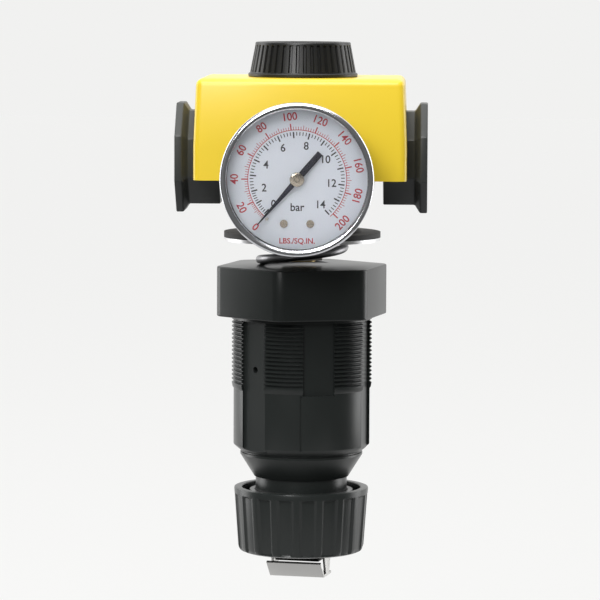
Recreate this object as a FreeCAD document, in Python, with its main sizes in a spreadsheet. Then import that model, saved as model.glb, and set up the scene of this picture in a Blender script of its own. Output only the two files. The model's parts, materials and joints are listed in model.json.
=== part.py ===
import FreeCAD, Part
import math
import os
import re
import Sketcher

# Air pressure regulator with panel thread, clamp flanges and gauge.
# Origin: on the vertical axis, in the plane of the hexagon collar's lower (panel) face.
# +Z up towards the valve cap, -Y towards the gauge, -X the inlet side, +X the outlet side.

Vector = FreeCAD.Vector
doc = FreeCAD.newDocument("regulator")
sheet = doc.addObject("Spreadsheet::Sheet", "Sizes")

# Driving sizes in millimetres and degrees. Heights are measured from the panel face.
sizes = {
    # running clearances and seats
    "running_gap": 0.05,
    "seat_gap": 0.02,
    "spring_seat_gap": 0.06,
    "loose_gap": 0.3,
    # black cast body below its top cover
    "body_bottom": 18.5,
    "lip_top": 25.1,
    "parting": 51.3,
    "body_half_width": 38.1,
    "body_taper": 1.2,
    "panel_half_depth": 30.4,
    "lip_half_depth": 16.6,
    "bulge_radius": 35.0,
    "core_half_width": 34.6,
    "core_half_depth": 27.0,
    # clamp flanges and ports
    "port_height": 58.6,
    "flange_reach": 46.2,
    "flange_flats": 40.2,
    "flange_plate": 2.7,
    "flange_slope": 1.9,
    "neck_flats": 34.3,
    "port_radius": 9.3,
    "port_depth": 15.0,
    "passage_radius": 7.0,
    "outlet_drop_offset": 23.5,
    "outlet_drop_radius": 4.5,
    # chambers and seat
    "ledge_height": 31.0,
    "lower_chamber_radius": 24.5,
    "lower_chamber_top": 44.0,
    "web_top": 50.0,
    "valve_chamber_radius": 14.0,
    "seat_outer_radius": 9.0,
    "seat_bore_radius": 6.0,
    "seat_lip_height": 1.5,
    "seat_flange": 1.2,
    "cap_thread_radius": 16.6,
    "cap_thread_bottom": 72.0,
    # bottom bore for the bonnet
    "bonnet_spigot_radius": 29.3,
    "diaphragm_thickness": 2.0,
    "slip_ring_thickness": 1.2,
    # gauge ports
    "gauge_height": 53.2,
    "gauge_port_radius": 5.9,
    "gauge_port_floor": 17.0,
    "gauge_boss_radius": 10.0,
    "sensing_radius": 1.2,
    "sensing_offset": 19.5,
    # yellow cover
    "cover_top": 88.2,
    "cover_half_width": 38.7,
    "cover_taper": 1.0,
    "cover_half_depth": 31.0,
    "cover_break": 63.5,
    "cover_lean": 0.6,
    "cover_wall": 2.4,
    "cover_hole_radius": 17.4,
    # valve cap
    "cap_flange_radius": 20.2,
    "cap_flange": 1.5,
    "cap_top": 101.0,
    "cap_wall_low_radius": 19.5,
    "cap_wall_high_radius": 17.6,
    "cap_rim": 1.0,
    "cap_floor": 77.0,
    "cap_skirt_bottom": 73.5,
    "cap_skirt_wall": 2.6,
    "cap_guide_bottom": 67.0,
    "cap_guide_radius": 6.4,
    "cap_rib_count": 44,
    "cap_rib_depth": 0.7,
    # poppet
    "poppet_radius": 9.6,
    "poppet_disc": 3.0,
    "poppet_seal_thickness": 2.0,
    "poppet_guide_radius": 4.0,
    "poppet_guide_top": 74.0,
    "poppet_stem_radius": 2.2,
    "relief_seat_height": 34.5,
    "valve_spring_radius": 8.6,
    "valve_spring_wire": 1.1,
    "valve_spring_turns": 5,
    # diaphragm set
    "diaphragm_plate_radius": 13.0,
    "diaphragm_plate": 1.5,
    "spring_plate_radius": 18.4,
    "spring_plate": 2.0,
    "hub_radius": 5.0,
    "hub_flange_radius": 8.0,
    "hub_bore_radius": 1.6,
    "hub_bottom": 20.0,
    "hub_nut_flats": 15.0,
    "hub_nut": 4.0,
    "spring_locator": 2.5,
    # main spring and travelling nut
    "spring_radius": 15.6,
    "spring_wire": 3.2,
    "spring_turns": 6,
    "nut_top": -35.0,
    "nut_plate": 4.0,
    "nut_hub_radius": 9.0,
    "nut_hub_bottom": -46.0,
    "key_width": 4.0,
    "key_depth": 1.2,
    "spring_bore_radius": 21.3,
    # adjusting screw
    "screw_radius": 5.0,
    "screw_top": -19.0,
    "collar_radius": 9.0,
    "collar": 2.5,
    "washer": 1.0,
    "journal_radius": 6.0,
    "clip": 0.8,
    "shank_flats": 9.0,
    "shank_bottom": -80.0,
    # bonnet
    "collar_vertex_radius": 33.15,
    "collar_corner": 1.6,
    "collar_turn": -13.5,
    "thread_radius": 26.0,
    "thread_depth": 0.85,
    "thread_pitch": 1.5,
    "thread_start": 1.2,
    "thread_end": 26.3,
    "rib_radius": 25.3,
    "rib_end": 48.1,
    "rib_foot": 50.1,
    "rib_foot_radius": 22.9,
    "channel_floor": 23.8,
    "channel_degrees": 28.0,
    "band_radius": 22.75,
    "band_bottom": 52.0,
    "cone_bottom": 60.0,
    "cone_foot_radius": 17.6,
    "bore_cone_top": 45.5,
    "bore_cone_bottom": 55.0,
    "neck_radius": 17.0,
    "neck_bottom": 66.0,
    "neck_bore_radius": 13.5,
    "neck_floor": 3.0,
    "vent_radius": 1.2,
    "vent_height": -19.0,
    # knob
    "knob_rim": -64.2,
    "knob_bottom": -87.1,
    "knob_radius": 25.0,
    "knob_taper": 1.7,
    "knob_inner_radius": 22.05,
    "knob_floor": 3.0,
    "knob_band": 2.2,
    "knob_hub_radius": 9.0,
    "knob_hub_top": -73.2,
    "knob_skirt_top": -65.2,
    "knob_skirt_wall": 1.7,
    "knob_skirt_gap": 0.45,
    "knob_flute_count": 18,
    "knob_flute_depth": 0.7,
    "knob_turn": -12.0,
    "knob_push": 5.0,
    "detent_height": -64.4,
    "detent_wire": 0.9,
    "boss_half_width": 8.5,
    "boss_half_depth": 6.0,
    "boss": 2.1,
    # lock bail
    "bail_half_width": 10.4,
    "bail_sheet": 1.0,
    "bail_bottom": -97.4,
    "bail_half_depth": 5.4,
    "bail_lip": 5.4,
    "bail_hook": 1.2,
    # gauge
    "gauge_back": 36.0,
    "gauge_front": 60.0,
    "bezel_radius": 27.4,
    "dial_opening_radius": 25.0,
    "bezel_lip": 1.2,
    "bezel_skirt": 6.0,
    "case_radius": 26.5,
    "case_wall": 1.3,
    "window": 1.8,
    "window_radius": 25.6,
    "dial_face": 53.4,
    "dial": 0.8,
    "dial_radius": 25.0,
    "socket_flats": 14.0,
    "socket_head_bottom": 42.5,
    "dial_screw_spread": 4.7,
    "dial_screw_drop": 15.8,
    "dial_screw_radius": 1.4,
    "pointer_reach": 21.6,
    "pointer_tail": 12.5,
    "pointer_half_width": 1.15,
    "pointer_tip_half_width": 0.2,
    "pointer": 0.4,
    "pointer_plane": 54.8,
    "pointer_angle": 139.0,
    "stop_pin_lead": 3.7,
    "stop_pin_reach": 17.7,
    "pointer_hub_radius": 2.6,
    "tube_centre_radius": 19.0,
    "tube_half_height": 3.2,
    "tube_half_width": 1.3,
    "tube_plane": 45.8,
    "gear_module": 0.32,
    "pinion_teeth": 10,
    "sector_teeth": 80,
    "sector_above": 6.0,
    "sector_below": 40.0,
    "gear_thickness": 1.0,
    "sector_plane": 47.6,
}

for row, (alias, number) in enumerate(sizes.items(), start=1):
    sheet.set("A%d" % row, alias)
    sheet.set("B%d" % row, str(number))
    sheet.setAlias("B%d" % row, alias)
doc.recompute()

# Lengths that follow from the driving sizes.
follows = {
    "core_top": "cover_top - cover_wall - loose_gap",
    "bonnet_bore": "bonnet_spigot_radius + running_gap",
    "slip_ring_top": "ledge_height - diaphragm_thickness",
    "spigot_top": "slip_ring_top - slip_ring_thickness",
    "cap_bore": "cap_thread_radius + running_gap",
    "thrust_face": "0 - neck_bottom + neck_floor",
    "collar_bottom": "thrust_face + washer",
    "collar_top": "collar_bottom + collar",
    "seat_lip_top": "web_top + seat_flange + seat_lip_height",
    "poppet_bottom": "seat_lip_top + seat_gap",
    "disc_bottom": "poppet_bottom + poppet_seal_thickness",
    "disc_top": "disc_bottom + poppet_disc",
    "hub_flange_bottom": "ledge_height + diaphragm_plate",
    "spring_plate_bottom": "slip_ring_top - spring_plate",
    "locator_bottom": "spring_plate_bottom - spring_locator",
    "knob_floor_top": "knob_bottom + knob_floor",
    "knob_skirt_inner": "neck_radius + knob_skirt_gap",
    "case_inner": "case_radius - case_wall",
    "case_floor": "gauge_back + case_wall",
    "bezel_inner": "case_radius + seat_gap",
    "window_back": "gauge_front - bezel_lip - window",
    "gear_distance": "gear_module * (pinion_teeth + sector_teeth) / 2",
}
follow_words = re.compile("|".join(r"\b%s\b" % word for word in follows))
size_words = re.compile("|".join(r"\b%s\b" % word for word in sizes))


def linked(text):
    """Turns words for sizes into references to the sheet's cells."""
    while follow_words.search(text):
        text = follow_words.sub(lambda word: "(%s)" % follows[word.group()], text)
    return size_words.sub(lambda word: "Sizes." + word.group(), text)


def amount(text):
    """The number that an expression has now, for code that needs one."""
    return float(sheet.evalExpression(linked(text)))


def bind(thing, **links):
    for name, text in links.items():
        thing.setExpression(name.replace("__", "."), linked(text))
    return thing


def place(thing, x="0", y="0", z="0"):
    for letter, text in (("x", x), ("y", y), ("z", z)):
        if text != "0":
            thing.setExpression("Placement.Base." + letter, linked(text))
    return thing


turned_to = {
    "Z": FreeCAD.Rotation(),
    "X": FreeCAD.Rotation(Vector(0, 1, 0), 90),
    "Y": FreeCAD.Rotation(Vector(1, 0, 0), 90),
}


def rod(name, radius, low, high, axis="Z", **at):
    """A cylinder from low to high along an axis; along Y it runs towards the front."""
    thing = doc.addObject("Part::Cylinder", name)
    thing.Placement = FreeCAD.Placement(Vector(), turned_to[axis])
    bind(thing, Radius=radius, Height="(%s) - (%s)" % (high, low))
    start = {"Z": ("z", low), "X": ("x", low), "Y": ("y", "0 - (%s)" % low)}[axis]
    at[start[0]] = start[1]
    return place(thing, **at)


def cone(name, low_radius, high_radius, low, high, **at):
    thing = doc.addObject("Part::Cone", name)
    bind(thing, Radius1=low_radius, Radius2=high_radius, Height="(%s) - (%s)" % (high, low))
    return place(thing, z=low, **at)


def ring_wire(name, radius, wire, **at):
    thing = doc.addObject("Part::Torus", name)
    bind(thing, Radius1=radius, Radius2=wire)
    return place(thing, **at)


def block(name, x, y, z):
    """A box given by its low and high ends along each axis."""
    thing = doc.addObject("Part::Box", name)
    for side, (low, high) in zip(("Length", "Width", "Height"), (x, y, z)):
        thing.setExpression(side, linked("(%s) - (%s)" % (high, low)))
    return place(thing, x=x[0], y=y[0], z=z[0])


def polygon_bar(name, sides, flats, low, high, axis="Z", **at):
    """A regular prism across flats, with flats square to the axes when it has eight sides."""
    thing = doc.addObject("Part::Prism", name)
    spin = FreeCAD.Rotation(Vector(0, 0, 1), 180.0 / sides)
    thing.Placement = FreeCAD.Placement(Vector(), turned_to[axis] * spin)
    thing.Polygon = sides
    across = "(%s) / 2 / cos(180 deg / %d)" % (flats, sides)
    bind(thing, Circumradius=across, Height="(%s) - (%s)" % (high, low))
    start = {"Z": ("z", low), "X": ("x", low), "Y": ("y", "0 - (%s)" % low)}[axis]
    at[start[0]] = start[1]
    return place(thing, **at)


def fused(name, *pieces):
    thing = doc.addObject("Part::MultiFuse", name)
    thing.Shapes = list(pieces)
    return thing


def cut(name, base, *tools):
    thing = doc.addObject("Part::Cut", name)
    thing.Base = base
    thing.Tool = tools[0] if len(tools) == 1 else fused(name + "_tools", *tools)
    return thing


def common(name, *pieces):
    thing = doc.addObject("Part::MultiCommon", name)
    thing.Shapes = list(pieces)
    return thing


def outline(body, name, role, points):
    """A closed outline whose corners are tied to the sheet, on one of the body's planes."""
    plane = [item for item in body.Origin.OriginFeatures if item.Role == role][0]
    sketch = body.newObject("Sketcher::SketchObject", name)
    sketch.AttachmentSupport = [(plane, "")]
    sketch.MapMode = "FlatFace"
    corners = [Vector(amount(x), amount(y), 0) for x, y in points]
    count = len(points)
    for index in range(count):
        sketch.addGeometry(Part.LineSegment(corners[index], corners[(index + 1) % count]), False)
    for index in range(count):
        sketch.addConstraint(Sketcher.Constraint("Coincident", index, 2, (index + 1) % count, 1))
    for index, (x, y) in enumerate(points):
        for kind, text, number, axis in (
            ("DistanceX", x, corners[index].x, -2),
            ("DistanceY", y, corners[index].y, -1),
        ):
            if text == "0":
                sketch.addConstraint(Sketcher.Constraint("PointOnObject", index, 1, axis))
                continue
            held = sketch.addConstraint(Sketcher.Constraint(kind, -1, 1, index, 1, number))
            sketch.setExpression("Constraints[%d]" % held, linked(text))
    return sketch


def turned(name, points):
    """A body of revolution about Z from (radius, height) corners."""
    body = doc.addObject("PartDesign::Body", name)
    sketch = outline(body, name + "_profile", "XZ_Plane", points)
    spin = body.newObject("PartDesign::Revolution", name + "_turned")
    spin.Profile = sketch
    spin.ReferenceAxis = (sketch, ["V_Axis"])
    spin.Angle = 360
    return body


def plate(name, role, points, low, high):
    """A body padded from an outline. low and high run along +Z, +X or, on XZ_Plane, to the front."""
    body = doc.addObject("PartDesign::Body", name)
    sketch = outline(body, name + "_outline", role, points)
    sketch.setExpression("AttachmentOffset.Base.z", linked(low))
    pad = body.newObject("PartDesign::Pad", name + "_pad")
    pad.Profile = sketch
    bind(pad, Length="(%s) - (%s)" % (high, low))
    return body


def spring(name, radius, wire, turns, low, high):
    """A coil spring with its end wires inside low and high."""
    path = doc.addObject("Part::Helix", name + "_path")
    rise = "((%s) - (%s) - 2 * (%s))" % (high, low, wire)
    bind(path, Radius=radius, Pitch="%s / (%s)" % (rise, turns), Height=rise)
    place(path, z="(%s) + (%s)" % (low, wire))
    section = doc.addObject("Part::Circle", name + "_section")
    section.Placement = FreeCAD.Placement(Vector(), FreeCAD.Rotation(Vector(1, 0, 0), 90))
    bind(section, Radius=wire)
    place(section, x=radius, z="(%s) + (%s)" % (low, wire))
    doc.recompute()
    coil = doc.addObject("Part::Sweep", name)
    coil.Sections = [section]
    coil.Spine = (path, ["Edge%d" % (n + 1) for n in range(len(path.Shape.Edges))])
    coil.Frenet = True
    coil.Solid = True
    return coil


def spun(name, piece, degrees, **at):
    """A copy of a piece turned about the vertical axis."""
    thing = doc.addObject("Part::Compound", name)
    thing.Links = [piece]
    thing.Placement = FreeCAD.Placement(Vector(), FreeCAD.Rotation(Vector(0, 0, 1), 0))
    thing.setExpression("Placement.Rotation.Angle", linked(degrees))
    return place(thing, **at)


nodes = []


def finish(name, thing):
    """Gives a finished piece the name of its node."""
    thing.Label = name
    nodes.append((name, thing))
    return thing


# ---- body: cast body with chambers, ports and clamp flanges ----
def make_body():
    side = "body_half_width"
    panels = plate("body_panels", "YZ_Plane", [
        ("0 - lip_half_depth", "body_bottom"),
        ("lip_half_depth", "body_bottom"),
        ("lip_half_depth", "lip_top"),
        ("panel_half_depth", "parting"),
        ("0 - panel_half_depth", "parting"),
        ("0 - lip_half_depth", "lip_top"),
    ], "0 - " + side, side)
    bulge = rod("body_bulge", "bulge_radius", "body_bottom", "parting")
    low_width = "(body_half_width - body_taper)"
    flanks = plate("body_flanks", "XZ_Plane", [
        ("0 - " + low_width, "body_bottom"),
        (low_width, "body_bottom"),
        (side, "parting"),
        ("0 - " + side, "parting"),
    ], "0 - panel_half_depth", "panel_half_depth")
    shell = common("body_shell", fused("body_mass", panels, bulge), flanks)
    core = block("body_core", ("0 - core_half_width", "core_half_width"),
                 ("0 - core_half_depth", "core_half_depth"), ("parting - 1", "core_top"))
    boss = rod("gauge_bosses", "gauge_boss_radius", "0 - panel_half_depth",
               "panel_half_depth", "Y", z="gauge_height")
    neck = polygon_bar("clamp_necks", 8, "neck_flats", "0 - flange_reach + 1",
                       "flange_reach - 1", "X", z="port_height")
    solids = [shell, core, boss, neck]
    for side_name, sign in (("inlet", -1), ("outlet", 1)):
        plate_in = "(flange_reach - flange_plate)"
        low, high = ("0 - flange_reach", "0 - " + plate_in) if sign < 0 else (plate_in, "flange_reach")
        solids.append(polygon_bar(side_name + "_flange", 8, "flange_flats", low, high, "X", z="port_height"))
        slope = doc.addObject("Part::Loft", side_name + "_flange_slope")
        rings = []
        for ring_name, flats, reach in (
            ("outer", "flange_flats", plate_in),
            ("inner", "neck_flats", "(%s - flange_slope)" % plate_in),
        ):
            ring = doc.addObject("Part::RegularPolygon", "%s_slope_%s" % (side_name, ring_name))
            spin = FreeCAD.Rotation(Vector(0, 0, 1), 22.5)
            ring.Placement = FreeCAD.Placement(Vector(), turned_to["X"] * spin)
            ring.Polygon = 8
            bind(ring, Circumradius="(%s) / 2 / cos(22.5 deg)" % flats)
            place(ring, x="%d * %s" % (sign, reach), z="port_height")
            rings.append(ring)
        slope.Sections = rings
        slope.Solid = True
        slope.Ruled = True
        solids.append(slope)
    whole = fused("body_whole", *solids)
    tools = [
        rod("bonnet_bore", "bonnet_bore", "body_bottom - 1", "ledge_height"),
        rod("lower_chamber", "lower_chamber_radius", "ledge_height - 1", "lower_chamber_top"),
        rod("seat_bore", "seat_outer_radius", "lower_chamber_top - 1", "web_top + 1"),
        rod("valve_chamber", "valve_chamber_radius", "web_top", "core_top + 1"),
        rod("cap_bore", "cap_bore", "cap_thread_bottom", "core_top + 1"),
        rod("inlet_bore", "port_radius", "0 - flange_reach - 1", "port_depth - flange_reach", "X",
            z="port_height"),
        rod("outlet_bore", "port_radius", "flange_reach - port_depth", "flange_reach + 1", "X",
            z="port_height"),
        rod("inlet_passage", "passage_radius", "0 - flange_reach", "0", "X", z="port_height"),
        rod("outlet_passage", "passage_radius", "outlet_drop_offset - outlet_drop_radius",
            "flange_reach", "X", z="port_height"),
        rod("outlet_drop", "outlet_drop_radius", "lower_chamber_top - 1", "port_height",
            x="outlet_drop_offset"),
        rod("front_gauge_port", "gauge_port_radius", "gauge_port_floor", "panel_half_depth + 1", "Y",
            z="gauge_height"),
        rod("rear_gauge_port", "gauge_port_radius", "0 - panel_half_depth - 1", "0 - gauge_port_floor",
            "Y", z="gauge_height"),
        rod("front_sensing", "sensing_radius", "lower_chamber_top - 1", "gauge_height",
            y="0 - sensing_offset"),
        rod("rear_sensing", "sensing_radius", "lower_chamber_top - 1", "gauge_height",
            y="sensing_offset"),
    ]
    finish("body", cut("body_cut", whole, *tools))


# ---- top_cover: yellow shell that the valve cap holds down ----
def make_cover():
    wall = "cover_wall"

    def cover_prism(name, inset, low, high):
        width = "(cover_half_width - %s)" % inset
        depth = "(cover_half_depth - %s)" % inset
        front = plate(name + "_ends", "YZ_Plane", [
            ("0 - " + depth, low), (depth, low), (depth, "cover_break"),
            (depth + " - cover_lean", high), ("0 - (%s - cover_lean)" % depth, high),
            ("0 - " + depth, "cover_break"),
        ], "0 - " + width, width)
        sides = plate(name + "_sides", "XZ_Plane", [
            ("0 - " + width, low), (width, low), (width + " - cover_taper", high),
            ("0 - (%s - cover_taper)" % width, high),
        ], "0 - cover_half_depth", "cover_half_depth")
        return common(name, front, sides)

    outer = cover_prism("cover_outer", "0", "parting + seat_gap", "cover_top")
    inner = cover_prism("cover_inner", wall, "parting - 1", "cover_top - cover_wall")
    neck = "neck_flats + 2 * loose_gap"
    openings = [
        inner,
        rod("cover_hole", "cover_hole_radius", "cover_top - 2 * cover_wall", "cover_top + 1"),
        polygon_bar("cover_neck_slot", 8, neck, "0 - flange_reach", "flange_reach", "X", z="port_height"),
        block("cover_slot_mouth", ("0 - flange_reach", "flange_reach"),
              ("0 - (%s) / 2" % neck, "(%s) / 2" % neck), ("parting - 1", "port_height")),
        rod("cover_boss_slot", "gauge_boss_radius + loose_gap", "0 - panel_half_depth - 2",
            "panel_half_depth + 2", "Y", z="gauge_height"),
    ]
    finish("top_cover", cut("cover_cut", outer, *openings))


# ---- valve_seat and its ring ----
def make_seat():
    finish("valve_seat", turned("seat_insert", [
        ("seat_bore_radius", "lower_chamber_top + 0.5"),
        ("seat_outer_radius", "lower_chamber_top + 0.5"),
        ("seat_outer_radius", "web_top"),
        ("seat_outer_radius + 2", "web_top"),
        ("seat_outer_radius + 2", "web_top + seat_flange"),
        ("seat_bore_radius + 1.2", "web_top + seat_flange"),
        ("seat_bore_radius + 0.6", "seat_lip_top"),
        ("seat_bore_radius", "seat_lip_top"),
    ]))


# ---- valve_cap, cap_o_ring: fluted cap that closes the valve chamber ----
def make_cap():
    shell = turned("cap_shell", [
        ("cap_thread_radius - cap_skirt_wall", "cap_skirt_bottom"),
        ("cap_thread_radius", "cap_skirt_bottom"),
        ("cap_thread_radius", "cover_top + 0.05"),
        ("cap_flange_radius", "cover_top + 0.05"),
        ("cap_flange_radius", "cover_top + cap_flange"),
        ("cap_wall_low_radius", "cover_top + cap_flange"),
        ("cap_wall_high_radius", "cap_top - cap_rim"),
        ("cap_wall_high_radius", "cap_top - 0.4"),
        ("cap_wall_high_radius - 0.4", "cap_top"),
        ("cap_wall_high_radius - 2.2", "cap_top"),
        ("cap_wall_high_radius - 2.6", "cap_top - 0.6"),
        ("0", "cap_top - 0.6"),
        ("0", "cap_floor"),
        ("cap_thread_radius - cap_skirt_wall", "cap_floor"),
    ])
    guide = rod("cap_guide", "cap_guide_radius", "cap_guide_bottom", "cap_floor + 1")
    bore = rod("cap_guide_bore", "poppet_guide_radius + running_gap", "cap_guide_bottom - 1",
               "poppet_guide_top + 2.5")
    groove = turned("cap_ring_groove", [
        ("cap_thread_radius - 1.4", "cap_skirt_bottom + 1.2"),
        ("cap_thread_radius + 1", "cap_skirt_bottom + 1.2"),
        ("cap_thread_radius + 1", "cap_skirt_bottom + 3.2"),
        ("cap_thread_radius - 1.4", "cap_skirt_bottom + 3.2"),
    ])
    tools = [bore, groove]
    low = "cover_top + cap_flange + 0.4"
    high = "cap_top - cap_rim"
    slit = block("cap_slit", ("cap_wall_high_radius - cap_rib_depth", "cap_flange_radius - 0.2"),
                 ("0 - 0.55", "0.55"), (low, high))
    for index in range(int(amount("cap_rib_count"))):
        tools.append(spun("cap_slit_%d" % index, slit, "%d * 360 / cap_rib_count" % index))
    finish("valve_cap", cut("cap_cut", fused("cap_whole", shell, guide), *tools))
    finish("cap_o_ring", ring_wire("cap_ring", "cap_thread_radius - 0.72", "0.62",
                                   z="cap_skirt_bottom + 2.2"))


# ---- valve_poppet, poppet_seal, valve_spring ----
def make_poppet():
    finish("valve_poppet", turned("poppet", [
        ("0", "relief_seat_height + seat_gap"),
        ("poppet_stem_radius - 1", "relief_seat_height + seat_gap"),
        ("poppet_stem_radius", "relief_seat_height + 1"),
        ("poppet_stem_radius", "disc_bottom"),
        ("poppet_radius", "disc_bottom"),
        ("poppet_radius", "disc_top"),
        ("poppet_guide_radius", "disc_top + 0.6"),
        ("poppet_guide_radius", "poppet_guide_top"),
        ("0", "poppet_guide_top"),
    ]))
    finish("poppet_seal", turned("poppet_disc_seal", [
        ("poppet_stem_radius", "poppet_bottom"),
        ("poppet_radius", "poppet_bottom"),
        ("poppet_radius", "disc_bottom"),
        ("poppet_stem_radius", "disc_bottom"),
    ]))
    finish("valve_spring", spring("valve_coil", "valve_spring_radius", "valve_spring_wire / 2",
                                  "valve_spring_turns", "disc_top + spring_seat_gap", "cap_floor - spring_seat_gap"))


# ---- diaphragm, slip_ring, plates, relief hub and nut ----
def make_diaphragm():
    edge = "(bonnet_spigot_radius - 0.3)"
    inner = "hub_radius"
    roll = "(lower_chamber_radius - 2)"
    finish("diaphragm", turned("membrane", [
        (inner, "slip_ring_top"),
        (edge, "slip_ring_top"),
        (edge, "ledge_height"),
        (roll, "ledge_height"),
        (roll + " - 1.5", "ledge_height + 1.2"),
        ("diaphragm_plate_radius + 3", "ledge_height + 1.2"),
        ("diaphragm_plate_radius + 1", "ledge_height"),
        (inner, "ledge_height"),
    ]))
    finish("slip_ring", turned("clamp_ring", [
        ("spring_bore_radius", "spigot_top"),
        (edge, "spigot_top"),
        (edge, "slip_ring_top"),
        ("spring_bore_radius", "slip_ring_top"),
    ]))
    finish("diaphragm_plate", turned("upper_plate", [
        ("hub_radius", "ledge_height"),
        ("diaphragm_plate_radius", "ledge_height"),
        ("diaphragm_plate_radius", "hub_flange_bottom"),
        ("hub_radius", "hub_flange_bottom"),
    ]))
    finish("spring_plate", turned("lower_plate", [
        ("hub_radius", "locator_bottom"),
        ("spring_radius - spring_wire / 2 - 0.5", "locator_bottom"),
        ("spring_radius - spring_wire / 2 - 0.5", "spring_plate_bottom"),
        ("spring_plate_radius", "spring_plate_bottom"),
        ("spring_plate_radius", "slip_ring_top"),
        ("hub_radius", "slip_ring_top"),
    ]))
    finish("relief_hub", turned("relief_spindle", [
        ("hub_bore_radius", "hub_bottom"),
        ("hub_radius", "hub_bottom"),
        ("hub_radius", "hub_flange_bottom"),
        ("hub_flange_radius", "hub_flange_bottom"),
        ("hub_flange_radius", "relief_seat_height - 0.8"),
        ("hub_bore_radius + 1", "relief_seat_height"),
        ("hub_bore_radius", "relief_seat_height"),
    ]))
    nut = polygon_bar("hub_nut_hex", 6, "hub_nut_flats", "locator_bottom - hub_nut", "locator_bottom")
    bore = rod("hub_nut_bore", "hub_radius", "hub_bottom - 5", "locator_bottom + 1")
    finish("hub_nut", cut("hub_nut_cut", nut, bore))


# ---- main_spring and spring_nut ----
def make_spring_set():
    finish("main_spring", spring("main_coil", "spring_radius", "spring_wire / 2", "spring_turns",
                                 "nut_top + spring_seat_gap", "spring_plate_bottom - spring_seat_gap"))
    reach = "spring_bore_radius - loose_gap"
    disc = rod("nut_disc", reach, "nut_top - nut_plate", "nut_top")
    hub = rod("nut_hub", "nut_hub_radius", "nut_hub_bottom", "nut_top")
    locator = rod("nut_locator", "spring_radius - spring_wire / 2 - 0.5", "nut_top - 1",
                  "nut_top + spring_locator")
    key = block("nut_keys", ("0 - (%s + key_depth)" % reach, reach + " + key_depth"),
                ("0 - key_width / 2 + 0.2", "key_width / 2 - 0.2"), ("nut_top - nut_plate", "nut_top"))
    bore = rod("nut_bore", "screw_radius + running_gap", "nut_hub_bottom - 1", "nut_top + spring_locator + 1")
    finish("spring_nut", cut("nut_cut", fused("nut_whole", disc, hub, locator, key), bore))


# ---- adjusting_screw, thrust_washer, retaining_clip ----
def make_screw():
    thread = turned("screw_thread", [
        ("0", "neck_bottom * -1 - 0.5"),
        ("journal_radius", "neck_bottom * -1 - 0.5"),
        ("journal_radius", "collar_bottom"),
        ("collar_radius", "collar_bottom"),
        ("collar_radius", "collar_top"),
        ("screw_radius", "collar_top"),
        ("screw_radius", "screw_top - 1"),
        ("screw_radius - 1", "screw_top"),
        ("0", "screw_top"),
    ])
    shank = polygon_bar("screw_shank", 6, "shank_flats", "shank_bottom", "neck_bottom * -1")
    tail = rod("screw_tail", "journal_radius", "0 - neck_bottom - clip - 1.2", "0 - neck_bottom")
    clip_groove = turned("clip_groove", [
        ("journal_radius - 0.8", "0 - neck_bottom - clip - 0.1"),
        ("journal_radius + 1", "0 - neck_bottom - clip - 0.1"),
        ("journal_radius + 1", "0 - neck_bottom - 0.08"),
        ("journal_radius - 0.8", "0 - neck_bottom - 0.08"),
    ])
    finish("adjusting_screw", cut("screw_cut", fused("screw_whole", thread, tail, shank), clip_groove))
    finish("thrust_washer", turned("washer_ring", [
        ("journal_radius + running_gap", "thrust_face"),
        ("collar_radius + 1", "thrust_face"),
        ("collar_radius + 1", "collar_bottom - seat_gap"),
        ("journal_radius + running_gap", "collar_bottom - seat_gap"),
    ]))
    ring = turned("clip_ring", [
        ("journal_radius - 0.8", "0 - neck_bottom - clip - 0.1"),
        ("journal_radius + 2", "0 - neck_bottom - clip - 0.1"),
        ("journal_radius + 2", "0 - neck_bottom - 0.1"),
        ("journal_radius - 0.8", "0 - neck_bottom - 0.1"),
    ])
    gap = block("clip_gap", ("0", "journal_radius + 3"), ("0 - 2", "2"),
                ("0 - neck_bottom - 3", "0 - neck_bottom + 1"))
    finish("retaining_clip", cut("clip_cut", ring, gap))


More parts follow.
